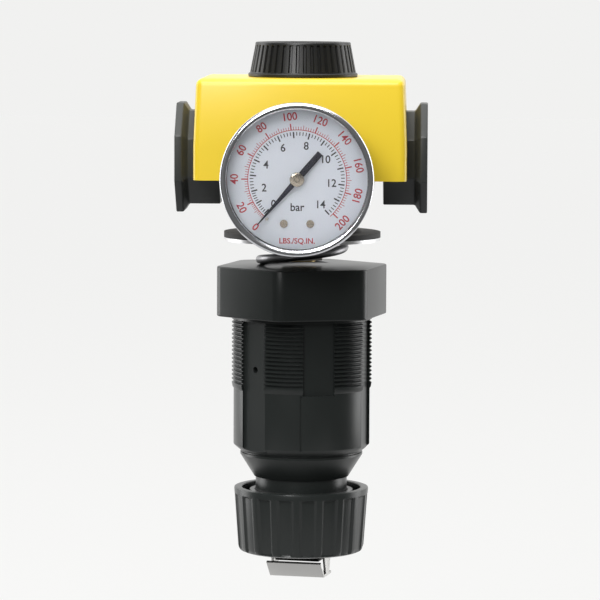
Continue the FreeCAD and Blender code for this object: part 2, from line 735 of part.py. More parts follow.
# ---- bonnet: hexagon collar, panel thread in six sectors, ribs, cone and neck ----
def make_bonnet():
    points = [
        ("spring_bore_radius", "spigot_top"),
        ("spring_bore_radius", "0 - bore_cone_top"),
        ("neck_bore_radius", "0 - bore_cone_bottom"),
        ("neck_bore_radius", "thrust_face"),
        ("journal_radius + running_gap", "thrust_face"),
        ("journal_radius + running_gap", "0 - neck_bottom"),
        ("neck_radius - 0.6", "0 - neck_bottom"),
        ("neck_radius - 0.6", "detent_height - 0.5"),
        ("neck_radius", "detent_height - 0.5"),
        ("neck_radius", "0 - cone_bottom - 0.8"),
        ("cone_foot_radius", "0 - cone_bottom"),
        ("band_radius", "0 - band_bottom"),
        ("band_radius", "0 - rib_foot"),
        ("rib_foot_radius", "0 - rib_foot"),
        ("rib_radius", "0 - rib_end"),
        ("rib_radius", "0 - thread_end"),
    ]
    grooves = int(amount("(thread_end - thread_start) / thread_pitch"))
    for index in reversed(range(grooves)):
        top = "(thread_start + %d * thread_pitch)" % index
        points += [
            ("thread_radius", "0 - (%s + thread_pitch * 0.94)" % top),
            ("thread_radius - thread_depth", "0 - (%s + thread_pitch * 0.53)" % top),
            ("thread_radius", "0 - (%s + thread_pitch * 0.12)" % top),
        ]
    points += [
        ("thread_radius", "1"),
        ("bonnet_spigot_radius", "1"),
        ("bonnet_spigot_radius", "spigot_top"),
    ]
    tube = turned("bonnet_tube", points)
    hexagon = doc.addObject("Part::Prism", "collar_hexagon")
    hexagon.Polygon = 6
    hexagon.Placement = FreeCAD.Placement(Vector(), FreeCAD.Rotation(Vector(0, 0, 1), 1))
    hexagon.setExpression("Placement.Rotation.Angle", linked("30 + collar_turn"))
    bind(hexagon, Circumradius="collar_vertex_radius", Height="body_bottom")
    round_limit = rod("collar_rounding", "collar_vertex_radius - collar_corner / 2", "0", "body_bottom")
    collar = cut("collar_ring", common("collar_block", hexagon, round_limit),
                 rod("collar_bore", "spring_bore_radius", "0 - 1", "body_bottom + 1"))
    tools = []
    half = "(channel_floor * tan(channel_degrees * 1 deg / 2))"
    ends = {"long": "0 - rib_foot", "short": "0 - thread_end - thread_pitch"}
    channels = {}
    for name, end in ends.items():
        channels[name] = block(name + "_channel", ("channel_floor", "collar_vertex_radius"),
                               ("0 - " + half, half), (end, "0 - thread_start"))
    for index in range(6):
        kind = "short" if index % 2 else "long"
        tools.append(spun("channel_%d" % index, channels[kind], "%d + collar_turn" % (60 * index)))
    for index in range(2):
        slot = block("key_slot_%d" % index,
                     ("0" if index else "0 - spring_bore_radius - key_depth - 0.2",
                      "spring_bore_radius + key_depth + 0.2" if index else "0"),
                     ("0 - key_width / 2", "key_width / 2"),
                     ("nut_top - nut_plate - 1", "spigot_top + 1"))
        tools.append(slot)
    vent = rod("vent", "vent_radius", "0", "collar_vertex_radius", "X", z="vent_height")
    tools.append(spun("vent_turned", vent, "240 + collar_turn"))
    finish("bonnet", cut("bonnet_cut", fused("bonnet_whole", tube, collar), *tools))


# ---- adjusting_knob, knob_detent_ring and lock_bail, turned together a little about the axis ----
def make_knob():
    low_radius = "(knob_radius - knob_taper)"
    skirt = "knob_skirt_inner"
    shell = turned("knob_shell", [
        ("0", "knob_bottom"),
        (low_radius + " - 1.5", "knob_bottom"),
        (low_radius, "knob_bottom + 1.2"),
        ("knob_radius", "knob_rim - 0.4"),
        ("knob_radius - 0.4", "knob_rim"),
        ("knob_inner_radius", "knob_rim"),
        ("knob_inner_radius - 0.8", "knob_floor_top"),
        (skirt + " + knob_skirt_wall", "knob_floor_top"),
        (skirt + " + knob_skirt_wall", "knob_skirt_top"),
        (skirt, "knob_skirt_top"),
        (skirt, "knob_floor_top"),
        ("knob_hub_radius", "knob_floor_top"),
        ("knob_hub_radius", "knob_hub_top"),
        ("0", "knob_hub_top"),
    ])
    boss = block("knob_boss", ("0 - boss_half_width", "boss_half_width"),
                 ("0 - boss_half_depth", "boss_half_depth"), ("knob_bottom - boss", "knob_bottom + 1"))
    socket = polygon_bar("knob_socket", 6, "shank_flats + 2 * running_gap",
                         "shank_bottom - knob_push - 0.3", "knob_hub_top + 1")
    tools = []
    groove = rod("knob_flute", "4.2", "knob_bottom - 1", "knob_rim - knob_band",
                 x="knob_radius + 4.2 - knob_flute_depth")
    for index in range(int(amount("knob_flute_count"))):
        tools.append(spun("knob_flute_%d" % index, groove, "(%d + 0.5) * 360 / knob_flute_count" % index))
    for name, low, high in (
        ("left", "0 - bail_half_width - bail_hook - 0.3", "0 - bail_half_width + bail_sheet + 0.2"),
        ("right", "bail_half_width - bail_sheet - 0.2", "bail_half_width + bail_hook + 0.3"),
    ):
        tools.append(block("bail_slot_" + name, (low, high),
                           ("0 - bail_half_depth - 0.2", "bail_half_depth + 0.2"),
                           ("knob_bottom - 1", "knob_floor_top + 1")))
    plain = cut("knob_cut", fused("knob_whole", shell, boss), *tools)
    finish("adjusting_knob", cut("knob_bored", spun("knob_turned", plain, "knob_turn"), socket))
    finish("knob_detent_ring", turned("detent", [
        ("neck_radius - 0.58", "detent_height - 0.52"),
        ("neck_radius + 0.3", "detent_height - 0.52"),
        ("neck_radius + 0.3", "detent_height - 0.52 - detent_wire"),
        ("neck_radius - 0.58", "detent_height - 0.52 - detent_wire"),
    ]))


def make_bail():
    sheet_metal = "bail_sheet"
    base = block("bail_base", ("0 - bail_half_width", "bail_half_width"),
                 ("0 - bail_half_depth", "bail_half_depth"), ("bail_bottom", "bail_bottom + bail_sheet"))
    lip = plate("bail_front_lip", "YZ_Plane", [
        ("0 - bail_half_depth", "bail_bottom"),
        ("0 - bail_half_depth - bail_lip", "bail_bottom + bail_lip"),
        ("0 - bail_half_depth - bail_lip + bail_sheet * 0.7", "bail_bottom + bail_lip + bail_sheet * 0.7"),
        ("0 - bail_half_depth + bail_sheet * 0.41", "bail_bottom + bail_sheet"),
        ("0 - bail_half_depth + bail_sheet * 0.41", "bail_bottom"),
    ], "0 - bail_half_width", "bail_half_width")
    arms = []
    for name, low, high, hook_low, hook_high in (
        ("left", "0 - bail_half_width", "0 - bail_half_width + bail_sheet",
         "0 - bail_half_width - bail_hook", "0 - bail_half_width + bail_sheet"),
        ("right", "bail_half_width - bail_sheet", "bail_half_width",
         "bail_half_width - bail_sheet", "bail_half_width + bail_hook"),
    ):
        arms.append(plate("bail_arm_" + name, "YZ_Plane", [
            ("0 - bail_half_depth * 0.35", "bail_bottom"),
            ("bail_half_depth * 0.35", "bail_bottom"),
            ("bail_half_depth", "knob_bottom - 1"),
            ("bail_half_depth", "knob_floor_top + 1.4"),
            ("0 - bail_half_depth", "knob_floor_top + 1.4"),
            ("0 - bail_half_depth", "knob_bottom - 1"),
        ], low, high))
        arms.append(block("bail_hook_" + name, (hook_low, hook_high),
                          ("0 - bail_half_depth * 0.6", "bail_half_depth * 0.6"),
                          ("knob_floor_top + 0.4", "knob_floor_top + 1.4")))
    finish("lock_bail", spun("bail_turned", fused("bail_whole", base, lip, *arms), "knob_turn"))


# ---- rear_port_plug and its ring ----
def make_plug():
    thread = rod("plug_thread", "gauge_port_radius", "0 - panel_half_depth - 0.5", "0 - panel_half_depth + 8",
                 "Y", z="gauge_height")
    head = rod("plug_head", "8.2", "0 - panel_half_depth - 3.4", "0 - panel_half_depth - 0.4", "Y",
               z="gauge_height")
    socket = polygon_bar("plug_socket", 6, "6", "0 - panel_half_depth - 4", "0 - panel_half_depth + 1", "Y",
                         z="gauge_height")
    finish("rear_port_plug", cut("plug_cut", fused("plug_whole", thread, head), socket))
    washer = rod("plug_washer", "7.6", "0 - panel_half_depth - 0.4", "0 - panel_half_depth", "Y",
                 z="gauge_height")
    hole = rod("plug_washer_hole", "gauge_port_radius", "0 - panel_half_depth - 1", "0 - panel_half_depth + 1",
               "Y", z="gauge_height")
    finish("rear_plug_washer", cut("plug_washer_cut", washer, hole))


# ---- gauge: socket, case, bezel, window and dial ----
def make_gauge_shell():
    at = {"z": "gauge_height"}
    stem = rod("socket_stem", "gauge_port_radius", "gauge_port_floor + 4", "gauge_back", "Y", **at)
    flats = polygon_bar("socket_wrench", 4, "socket_flats", "panel_half_depth + 0.4", "gauge_back", "Y", **at)
    neck = rod("socket_neck", "4.6", "gauge_back - 0.5", "case_floor + 0.5", "Y", **at)
    head = block("socket_head", ("0 - 5", "5"), ("0 - socket_head_bottom", "0 - case_floor"),
                 ("gauge_height - tube_centre_radius - 2.4", "gauge_height + 4"))
    post = block("socket_post", ("0 - 2.6", "2.6"), ("0 - tube_plane - tube_half_height", "0 - case_floor - 1"),
                 ("gauge_height - tube_centre_radius - 2.4", "gauge_height - tube_centre_radius + 2.4"))
    bore = rod("socket_bore", "1.4", "gauge_port_floor + 3", "socket_head_bottom - 1.5", "Y", **at)
    rise = rod("socket_drop", "1.0", "gauge_height - tube_centre_radius", "gauge_height",
               y="0 - case_floor - 2.4")
    finish("gauge_socket", cut("socket_cut", fused("socket_whole", stem, flats, neck, head, post), bore, rise))

    can = rod("case_can", "case_radius", "gauge_back", "gauge_front - bezel_lip - window - 0.1", "Y", **at)
    hollow = rod("case_hollow", "case_inner", "case_floor", "gauge_front", "Y", **at)
    hole = rod("case_hole", "4.6", "gauge_back - 1", "case_floor + 1", "Y", **at)
    finish("gauge_case", cut("case_cut", can, hollow, hole))

    ring = rod("bezel_ring", "bezel_radius", "gauge_front - bezel_skirt", "gauge_front", "Y", **at)
    seat = rod("bezel_seat", "bezel_inner", "gauge_front - bezel_skirt - 1", "gauge_front - bezel_lip", "Y", **at)
    mouth = rod("bezel_mouth", "dial_opening_radius", "gauge_front - bezel_skirt - 1", "gauge_front + 1", "Y", **at)
    finish("gauge_bezel", cut("bezel_cut", ring, seat, mouth))
    finish("gauge_window", rod("window_disc", "window_radius", "window_back", "window_back + window", "Y", **at))

    disc = rod("dial_disc", "dial_radius", "dial_face - dial", "dial_face", "Y", **at)
    centre = rod("dial_centre", "2.0", "dial_face - 2", "dial_face + 1", "Y", **at)
    holes = [centre]
    for name, sign in (("left", "0 - "), ("right", "")):
        holes.append(rod("dial_hole_" + name, "0.85", "dial_face - 2", "dial_face + 1", "Y",
                         x=sign + "dial_screw_spread", z="gauge_height - dial_screw_drop"))
    finish("gauge_dial", cut("dial_cut", disc, *holes))
    screws = []
    for name, sign in (("left", "0 - "), ("right", "")):
        spot = {"x": sign + "dial_screw_spread", "z": "gauge_height - dial_screw_drop"}
        head = rod("dial_screw_head_" + name, "dial_screw_radius", "dial_face", "dial_face + 0.7", "Y", **spot)
        shank = rod("dial_screw_shank_" + name, "0.8", "tube_plane + tube_half_height + 0.9", "dial_face + 0.1",
                    "Y", **spot)
        low, high = (sign + "dial_screw_spread - 2", sign + "dial_screw_spread + 2")
        slot = block("dial_screw_slot_" + name, (low, high), ("0 - dial_face - 1", "0 - dial_face - 0.35"),
                     ("gauge_height - dial_screw_drop - 0.18", "gauge_height - dial_screw_drop + 0.18"))
        screws.append(cut("dial_screw_" + name, fused("dial_screw_whole_" + name, head, shank), slot))
    group = doc.addObject("Part::Compound", "dial_screw_pair")
    group.Links = screws
    finish("dial_screws", group)
    finish("stop_pin", rod("stop_pin_rod", "0.55", "dial_face", "pointer_plane + pointer + 0.3", "Y",
                           x="0 - stop_pin_reach * sin((pointer_angle + stop_pin_lead) * 1 deg)",
                           z="gauge_height + stop_pin_reach * cos((pointer_angle + stop_pin_lead) * 1 deg)"))


# ---- movement: Bourdon tube, frame, sector, pinion, hairspring, link ----
def make_movement():
    at = {"z": "gauge_height"}
    # The tube is a flattened C that starts at the socket's post and runs round to its free tip.
    tube = doc.addObject("PartDesign::Body", "bourdon")
    outline(tube, "bourdon_section", "XZ_Plane", [
        ("tube_centre_radius - tube_half_width", "0 - tube_half_height"),
        ("tube_centre_radius + tube_half_width", "0 - tube_half_height"),
        ("tube_centre_radius + tube_half_width", "tube_half_height"),
        ("tube_centre_radius - tube_half_width", "tube_half_height"),
    ])
    section = doc.getObject("bourdon_section")
    spin = tube.newObject("PartDesign::Revolution", "bourdon_turned")
    spin.Profile = section
    spin.ReferenceAxis = (section, ["V_Axis"])
    spin.Angle = 245
    tube.Placement = FreeCAD.Placement(Vector(), FreeCAD.Rotation(Vector(1, 0, 0), 90)
                                       * FreeCAD.Rotation(Vector(0, 0, 1), -82))
    place(tube, y="0 - tube_plane", z="gauge_height")
    finish("bourdon_tube", tube)

    hub = "pointer_plane"
    back = block("frame_back", ("0 - gear_distance - 3", "4"), ("0 - socket_head_bottom - 1.2", "0 - socket_head_bottom"),
                 ("gauge_height - 5", "gauge_height + 4"))
    front = block("frame_front", ("0 - gear_distance - 3", "4"),
                  ("0 - tube_plane - tube_half_height - 2", "0 - tube_plane - tube_half_height - 1"),
                  ("gauge_height - 5", "gauge_height + 4"))
    pillars = []
    for name, x, rise in (("near", "2.8", "0 - 3.6"), ("far", "0 - gear_distance - 1.8", "2.9")):
        pillars.append(rod("frame_pillar_" + name, "0.9", "socket_head_bottom",
                           "tube_plane + tube_half_height + 1.5", "Y", x=x, z="gauge_height + " + rise))
    staff_hole = rod("frame_staff_hole", "0.6 + running_gap", "socket_head_bottom - 1", hub, "Y", **at)
    sector_hole = rod("frame_sector_hole", "0.8 + running_gap", "socket_head_bottom - 1", hub, "Y",
                      x="0 - gear_distance", **at)
    screw_holes = [rod("frame_screw_hole_%d" % n, "0.7", "socket_head_bottom - 1", "socket_head_bottom + 3", "Y",
                       x="%d * 2.2" % n, z="gauge_height + 2.6") for n in (-1, 1)]
    finish("movement_frame", cut("frame_cut", fused("frame_whole", back, front, *pillars),
                                 staff_hole, sector_hole, *screw_holes))
    screws = []
    for n in (-1, 1):
        spot = {"x": "%d * 2.2" % n, "z": "gauge_height + 2.6"}
        head = rod("frame_screw_head_%d" % (n + 1), "1.2", "socket_head_bottom + 1.2",
                   "socket_head_bottom + 1.9", "Y", **spot)
        shank = rod("frame_screw_shank_%d" % (n + 1), "0.7", "socket_head_bottom", "socket_head_bottom + 1.3",
                    "Y", **spot)
        screws.append(fused("frame_screw_%d" % (n + 1), head, shank))
    group = doc.addObject("Part::Compound", "frame_screw_pair")
    group.Links = screws
    finish("movement_screws", group)

    def teeth(name, count, first, last, pitch_radius, inner, **where):
        """Straight-sided teeth round a disc, from tooth first to tooth last."""
        step = 360.0 / count
        tooth = plate(name + "_tooth", "XZ_Plane", [
            ("0 - gear_module * 0.62", "(%s) - gear_module * 1.1" % pitch_radius),
            ("gear_module * 0.62", "(%s) - gear_module * 1.1" % pitch_radius),
            ("gear_module * 0.28", "(%s) + gear_module * 0.85" % pitch_radius),
            ("0 - gear_module * 0.28", "(%s) + gear_module * 0.85" % pitch_radius),
        ], "sector_plane", "sector_plane + gear_thickness")
        copies = []
        for index in range(first, last + 1):
            copy = doc.addObject("Part::Compound", "%s_tooth_%d" % (name, index - first))
            copy.Links = [tooth]
            copy.Placement = FreeCAD.Placement(Vector(), FreeCAD.Rotation(Vector(0, 1, 0), inner + index * step))
            copies.append(place(copy, **where))
        return copies

    arbor = rod("pinion_staff", "0.6", "socket_head_bottom + 0.2", "pointer_plane + pointer + 0.5", "Y", **at)
    root_disc = rod("pinion_disc", "gear_module * (pinion_teeth / 2 - 1)", "sector_plane",
                    "sector_plane + gear_thickness", "Y", **at)
    count = int(amount("pinion_teeth"))
    finish("pinion_shaft", fused("pinion_whole", arbor, root_disc,
                                 *teeth("pinion", count, 0, count - 1, "gear_module * pinion_teeth / 2",
                                        -90 + 180.0 / count, z="gauge_height")))
    whole = int(amount("sector_teeth"))
    above = int(amount("sector_above * sector_teeth / 360"))
    below = int(amount("sector_below * sector_teeth / 360"))
    pitch = "(gear_module * sector_teeth / 2)"
    pivot = {"x": "0 - gear_distance", "z": "gauge_height"}
    rim = rod("sector_rim", pitch + " - gear_module", "sector_plane", "sector_plane + gear_thickness", "Y", **pivot)
    opening = rod("sector_opening", pitch + " - 4 * gear_module", "sector_plane - 1",
                  "sector_plane + gear_thickness + 1", "Y", **pivot)
    reach = "(1.3 * %s)" % pitch
    wedge = plate("sector_wedge", "XZ_Plane", [
        ("0", "0"),
        (reach + " * cos(sector_below * 1 deg)", "0 - %s * sin(sector_below * 1 deg)" % reach),
        (reach, "0 - %s * tan(sector_below * 0.5 deg)" % reach),
        (reach, "0"),
        (reach + " * cos(sector_above * 1 deg)", "%s * sin(sector_above * 1 deg)" % reach),
    ], "sector_plane - 1", "sector_plane + gear_thickness + 1")
    place(wedge, **pivot)
    arc = common("sector_arc", cut("sector_band", rim, opening), wedge)
    arm = block("sector_arm", ("0 - gear_distance - 5", "0 - gear_distance + %s - gear_module * 2" % pitch),
                ("0 - sector_plane - gear_thickness", "0 - sector_plane"),
                ("gauge_height - 1.2", "gauge_height + 1.2"))
    shaft = rod("sector_staff", "0.8", "socket_head_bottom + 0.2", "tube_plane + tube_half_height + 1.8", "Y", **pivot)
    sector_teeth = teeth("sector", whole, -above, below, pitch, 90, **pivot)
    finish("sector_gear", fused("sector_whole", arc, arm, shaft, *sector_teeth))
    finish("link", plate("link_bar", "XZ_Plane", [
        ("0 - gear_distance - 5", "gauge_height - 0.8"),
        ("0 - gear_distance - 3.6", "gauge_height - 0.8"),
        ("0 - gear_distance - 3.6", "gauge_height + 5.2"),
        ("0 - gear_distance - 5", "gauge_height + 5.2"),
    ], "sector_plane - 1.1", "sector_plane - 0.3"))
    coil = doc.addObject("Part::Spiral", "hairspring_path")
    coil.Placement = FreeCAD.Placement(Vector(), turned_to["Y"])
    bind(coil, Radius="1.0", Growth="0.8")
    coil.Rotations = 3
    place(coil, y="0 - tube_plane - 0.5", **at)
    strip = doc.addObject("Part::Plane", "hairspring_strip")
    strip.Placement = FreeCAD.Placement(Vector(), FreeCAD.Rotation(Vector(1, 0, 0), 0))
    strip.Length = 0.16
    strip.Width = 0.6
    place(strip, x="1.0 - 0.08", y="0 - tube_plane - 0.8", **at)
    doc.recompute()
    wound = doc.addObject("Part::Sweep", "hairspring_sweep")
    wound.Sections = [strip]
    wound.Spine = (coil, ["Edge%d" % (n + 1) for n in range(len(coil.Shape.Edges))])
    wound.Solid = True
    wound.Frenet = False
    finish("hairspring", wound)


# ---- pointer and pointer_hub ----
def make_pointer():
    flat = plate("pointer_flat", "XZ_Plane", [
        ("0 - pointer_half_width", "0 - pointer_tail"),
        ("pointer_half_width", "0 - pointer_tail"),
        ("pointer_half_width", "0 - 1.5"),
        ("pointer_tip_half_width", "pointer_reach"),
        ("0 - pointer_tip_half_width", "pointer_reach"),
        ("0 - pointer_half_width", "0 - 1.5"),
    ], "pointer_plane", "pointer_plane + pointer")
    turned_flat = doc.addObject("Part::Compound", "pointer_turned")
    turned_flat.Links = [flat]
    turned_flat.Placement = FreeCAD.Placement(Vector(), FreeCAD.Rotation(Vector(0, 1, 0), 1))
    turned_flat.setExpression("Placement.Rotation.Angle", linked("0 - pointer_angle"))
    place(turned_flat, z="gauge_height")
    bore = rod("pointer_bore", "0.6", "pointer_plane - 1", "pointer_plane + 1", "Y", z="gauge_height")
    finish("pointer", cut("pointer_cut", turned_flat, bore))
    cap = rod("pointer_cap", "pointer_hub_radius", "pointer_plane + pointer", "pointer_plane + pointer + 1.1", "Y",
              z="gauge_height")
    hole = rod("pointer_cap_hole", "0.6", "pointer_plane", "pointer_plane + pointer + 0.5", "Y", z="gauge_height")
    finish("pointer_hub", cut("pointer_hub_cut", cap, hole))


make_body()
make_cover()
make_seat()
make_cap()
make_poppet()
make_diaphragm()
make_spring_set()
make_screw()
make_bonnet()
make_knob()
make_bail()
make_plug()
make_gauge_shell()
make_movement()
make_pointer()
doc.recompute()

broken = []
for item in doc.Objects:
    if "Invalid" in item.State or "Error" in item.State:
        broken.append(item.Label)
for name, thing in nodes:
    if thing.Shape.isNull() or not thing.Shape.isValid():
        broken.append(name)
if broken:
    raise SystemExit("these did not build: " + ", ".join(broken))

os.makedirs("parts", exist_ok=True)
for name, thing in nodes:
    print("%-20s %2d solid(s) %10.1f mm3" % (name, len(thing.Shape.Solids), thing.Shape.Volume))
    thing.Shape.exportStep("parts/%s.step" % name)
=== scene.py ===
import math
import bpy
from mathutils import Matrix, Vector
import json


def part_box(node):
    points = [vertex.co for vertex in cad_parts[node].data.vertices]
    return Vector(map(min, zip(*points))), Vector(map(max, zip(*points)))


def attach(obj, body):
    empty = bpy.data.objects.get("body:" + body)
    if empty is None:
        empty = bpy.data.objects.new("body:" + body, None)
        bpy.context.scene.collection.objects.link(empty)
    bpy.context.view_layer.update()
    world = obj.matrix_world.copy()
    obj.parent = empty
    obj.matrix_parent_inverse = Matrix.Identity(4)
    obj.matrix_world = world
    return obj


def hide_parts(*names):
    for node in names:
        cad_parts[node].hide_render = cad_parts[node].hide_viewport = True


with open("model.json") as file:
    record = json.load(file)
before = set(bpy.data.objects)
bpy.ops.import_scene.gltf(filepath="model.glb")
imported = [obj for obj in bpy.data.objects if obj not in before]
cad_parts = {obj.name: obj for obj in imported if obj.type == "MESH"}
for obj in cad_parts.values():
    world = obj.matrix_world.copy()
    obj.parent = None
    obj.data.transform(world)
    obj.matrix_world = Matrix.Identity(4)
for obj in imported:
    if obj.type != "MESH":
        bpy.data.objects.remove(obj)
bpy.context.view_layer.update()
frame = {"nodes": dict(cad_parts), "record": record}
mm = 0.001
tolerance = 0.01 * mm
print("frame loaded")

coverLow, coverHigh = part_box("top_cover")
bodyLow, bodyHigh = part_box("body")
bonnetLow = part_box("bonnet")[0]
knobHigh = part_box("adjusting_knob")[1]
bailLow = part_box("lock_bail")[0]
capLow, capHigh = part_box("valve_cap")
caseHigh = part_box("gauge_case")[1]
bezelLow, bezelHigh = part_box("gauge_bezel")
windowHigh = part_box("gauge_window")[1]
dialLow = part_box("gauge_dial")[0]
pointerLow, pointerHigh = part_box("pointer")
portHeight = frame["record"]["mounts"][1]["pos_m"][2]
gaugeHeight = (bezelLow.z + bezelHigh.z) / 2
knobTwist = math.radians(-12)


# working habits

def clearSelection():
    bpy.ops.object.select_all(action="DESELECT")


def pick(piece):
    clearSelection()
    piece.select_set(True)
    bpy.context.view_layer.objects.active = piece


def settle(piece):
    pick(piece)
    bpy.ops.object.transform_apply(location=True, rotation=True, scale=True)
    return piece


def newest(name):
    piece = bpy.context.object
    piece.name = name
    return piece


def box(name, low, high):
    clearSelection()
    centre = [(a + b) / 2 for a, b in zip(low, high)]
    bpy.ops.mesh.primitive_cube_add(size=1, location=centre)
    piece = newest(name)
    piece.scale = [b - a for a, b in zip(low, high)]
    return settle(piece)


def rod(name, radius, low, high, axis="Z", centre=(0, 0), segments=96):
    # centre holds the two coordinates across the axis
    clearSelection()
    middle = (low + high) / 2
    spots = {
        "X": ((middle, centre[0], centre[1]), (0, math.pi / 2, 0)),
        "Y": ((centre[0], middle, centre[1]), (math.pi / 2, 0, 0)),
        "Z": ((centre[0], centre[1], middle), (0, 0, 0)),
    }
    place, rotation = spots[axis]
    bpy.ops.mesh.primitive_cylinder_add(vertices=segments, radius=radius, depth=high - low,
                                        location=place, rotation=rotation)
    return settle(newest(name))


def turned(name, profile, segments=128, filled=(False, False), turn=0.0):
    # A turned piece about Z: one ring is pulled along the (radius, height) profile.
    clearSelection()
    radius, height = profile[0]
    bpy.ops.mesh.primitive_circle_add(vertices=segments, radius=radius, location=(0, 0, height),
                                      rotation=(0, 0, turn),
                                      fill_type="NGON" if filled[0] else "NOTHING")
    piece = newest(name)
    settle(piece)
    bpy.ops.object.mode_set(mode="EDIT")
    bpy.ops.mesh.select_mode(type="EDGE")
    bpy.ops.mesh.select_all(action="SELECT")
    for nextRadius, nextHeight in profile[1:]:
        bpy.ops.mesh.extrude_edges_move(
            TRANSFORM_OT_translate={"value": (0, 0, nextHeight - height)})
        if abs(nextRadius - radius) > 1e-9:
            factor = nextRadius / radius
            bpy.ops.transform.resize(value=(factor, factor, 1), center_override=(0, 0, nextHeight))
        radius, height = nextRadius, nextHeight
    if filled[1]:
        bpy.ops.mesh.edge_face_add()
    bpy.ops.mesh.select_all(action="SELECT")
    bpy.ops.mesh.remove_doubles(threshold=1e-6)
    bpy.ops.mesh.normals_make_consistent(inside=False)
    bpy.ops.object.mode_set(mode="OBJECT")
    return piece


def aimed(piece, axis, centre=(0, 0, 0)):
    # Turns a piece made about Z so that its top looks along axis, then moves it to centre.
    turns = {"-Y": (math.pi / 2, 0, 0), "+X": (0, math.pi / 2, 0), "-X": (0, -math.pi / 2, 0)}
    piece.rotation_euler = turns[axis]
    piece.location = centre
    return settle(piece)


def twisted(piece, angle):
    # Turns a piece about the vertical axis.
    piece.rotation_euler = (0, 0, angle)
    return settle(piece)


def useModifier(piece, kind, **values):
    pick(piece)
    bpy.ops.object.modifier_add(type=kind)
    modifier = piece.modifiers[-1]
    for key, value in values.items():
        setattr(modifier, key, value)
    bpy.ops.object.modifier_apply(modifier=modifier.name)
    return piece


def combine(piece, tool, operation="DIFFERENCE"):
    useModifier(piece, "BOOLEAN", operation=operation, object=tool, solver="EXACT")
    bpy.data.objects.remove(tool, do_unlink=True)
    return piece


def roundEdges(piece, width, segments=3, angle=30):
    return useModifier(piece, "BEVEL", width=width, segments=segments, limit_method="ANGLE",
                       angle_limit=math.radians(angle), use_clamp_overlap=True, harden_normals=False)


def joined(name, pieces):
    clearSelection()
    for piece in pieces:
        piece.select_set(True)
    bpy.context.view_layer.objects.active = pieces[0]
    if len(pieces) > 1:
        bpy.ops.object.join()
    return newest(name)


def smooth(piece, angle=35):
    pick(piece)
    bpy.ops.object.shade_smooth_by_angle(angle=math.radians(angle))
    return piece


def choose(piece, kind, parts, test):
    # Leaves edit mode on with only those parts selected that pass the test.
    pick(piece)
    bpy.ops.object.mode_set(mode="EDIT")
    bpy.ops.mesh.select_mode(type=kind)
    bpy.ops.mesh.select_all(action="DESELECT")
    bpy.ops.object.mode_set(mode="OBJECT")
    for part in parts:
        part.select = test(part)
    bpy.ops.object.mode_set(mode="EDIT")


def chooseFaces(piece, test):
    choose(piece, "FACE", piece.data.polygons, lambda face: test(face.center))


def chooseCorners(piece, test):
    choose(piece, "VERT", piece.data.vertices, lambda corner: test(corner.co))


def edgeEnds(piece, edge):
    return [piece.data.vertices[index].co for index in edge.vertices]


def leaveEdit():
    bpy.ops.object.mode_set(mode="OBJECT")


def split(piece, height):
    # Cuts a level loop of edges around a piece.
    pick(piece)
    bpy.ops.object.mode_set(mode="EDIT")
    bpy.ops.mesh.select_all(action="SELECT")
    bpy.ops.mesh.bisect(plane_co=(0, 0, height), plane_no=(0, 0, 1))
    leaveEdit()


def squeeze(piece, test, factors):
    # Scales the corners that pass the test about the origin.
    chooseCorners(piece, test)
    bpy.ops.transform.resize(value=factors, center_override=(0, 0, 0))
    leaveEdit()


def roundChosen(piece, width, segments, test):
    # Rounds only the edges whose two ends pass the test.
    marks = piece.data.attributes.new("bevel_weight_edge", "FLOAT", "EDGE")
    for edge, mark in zip(piece.data.edges, marks.data):
        mark.value = 1.0 if test(*edgeEnds(piece, edge)) else 0.0
    return useModifier(piece, "BEVEL", width=width, segments=segments, limit_method="WEIGHT")


def upright(one, other):
    return abs(one.z - other.z) > 1 * mm


def dress(piece, material, body, slotName, *nodes):
    piece.data.materials.clear()
    piece.data.materials.append(material)
    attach(piece, body)
    if nodes:
        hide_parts(*nodes)
    return piece


# shared shader effects

def newGroup(name, inputs, outputs):
    group = bpy.data.node_groups.new(name, "ShaderNodeTree")
    for label, kind, value in inputs:
        socket = group.interface.new_socket(name=label, in_out="INPUT", socket_type=kind)
        socket.default_value = value
    for label, kind in outputs:
        group.interface.new_socket(name=label, in_out="OUTPUT", socket_type=kind)
    return group, group.nodes.new("NodeGroupInput"), group.nodes.new("NodeGroupOutput")


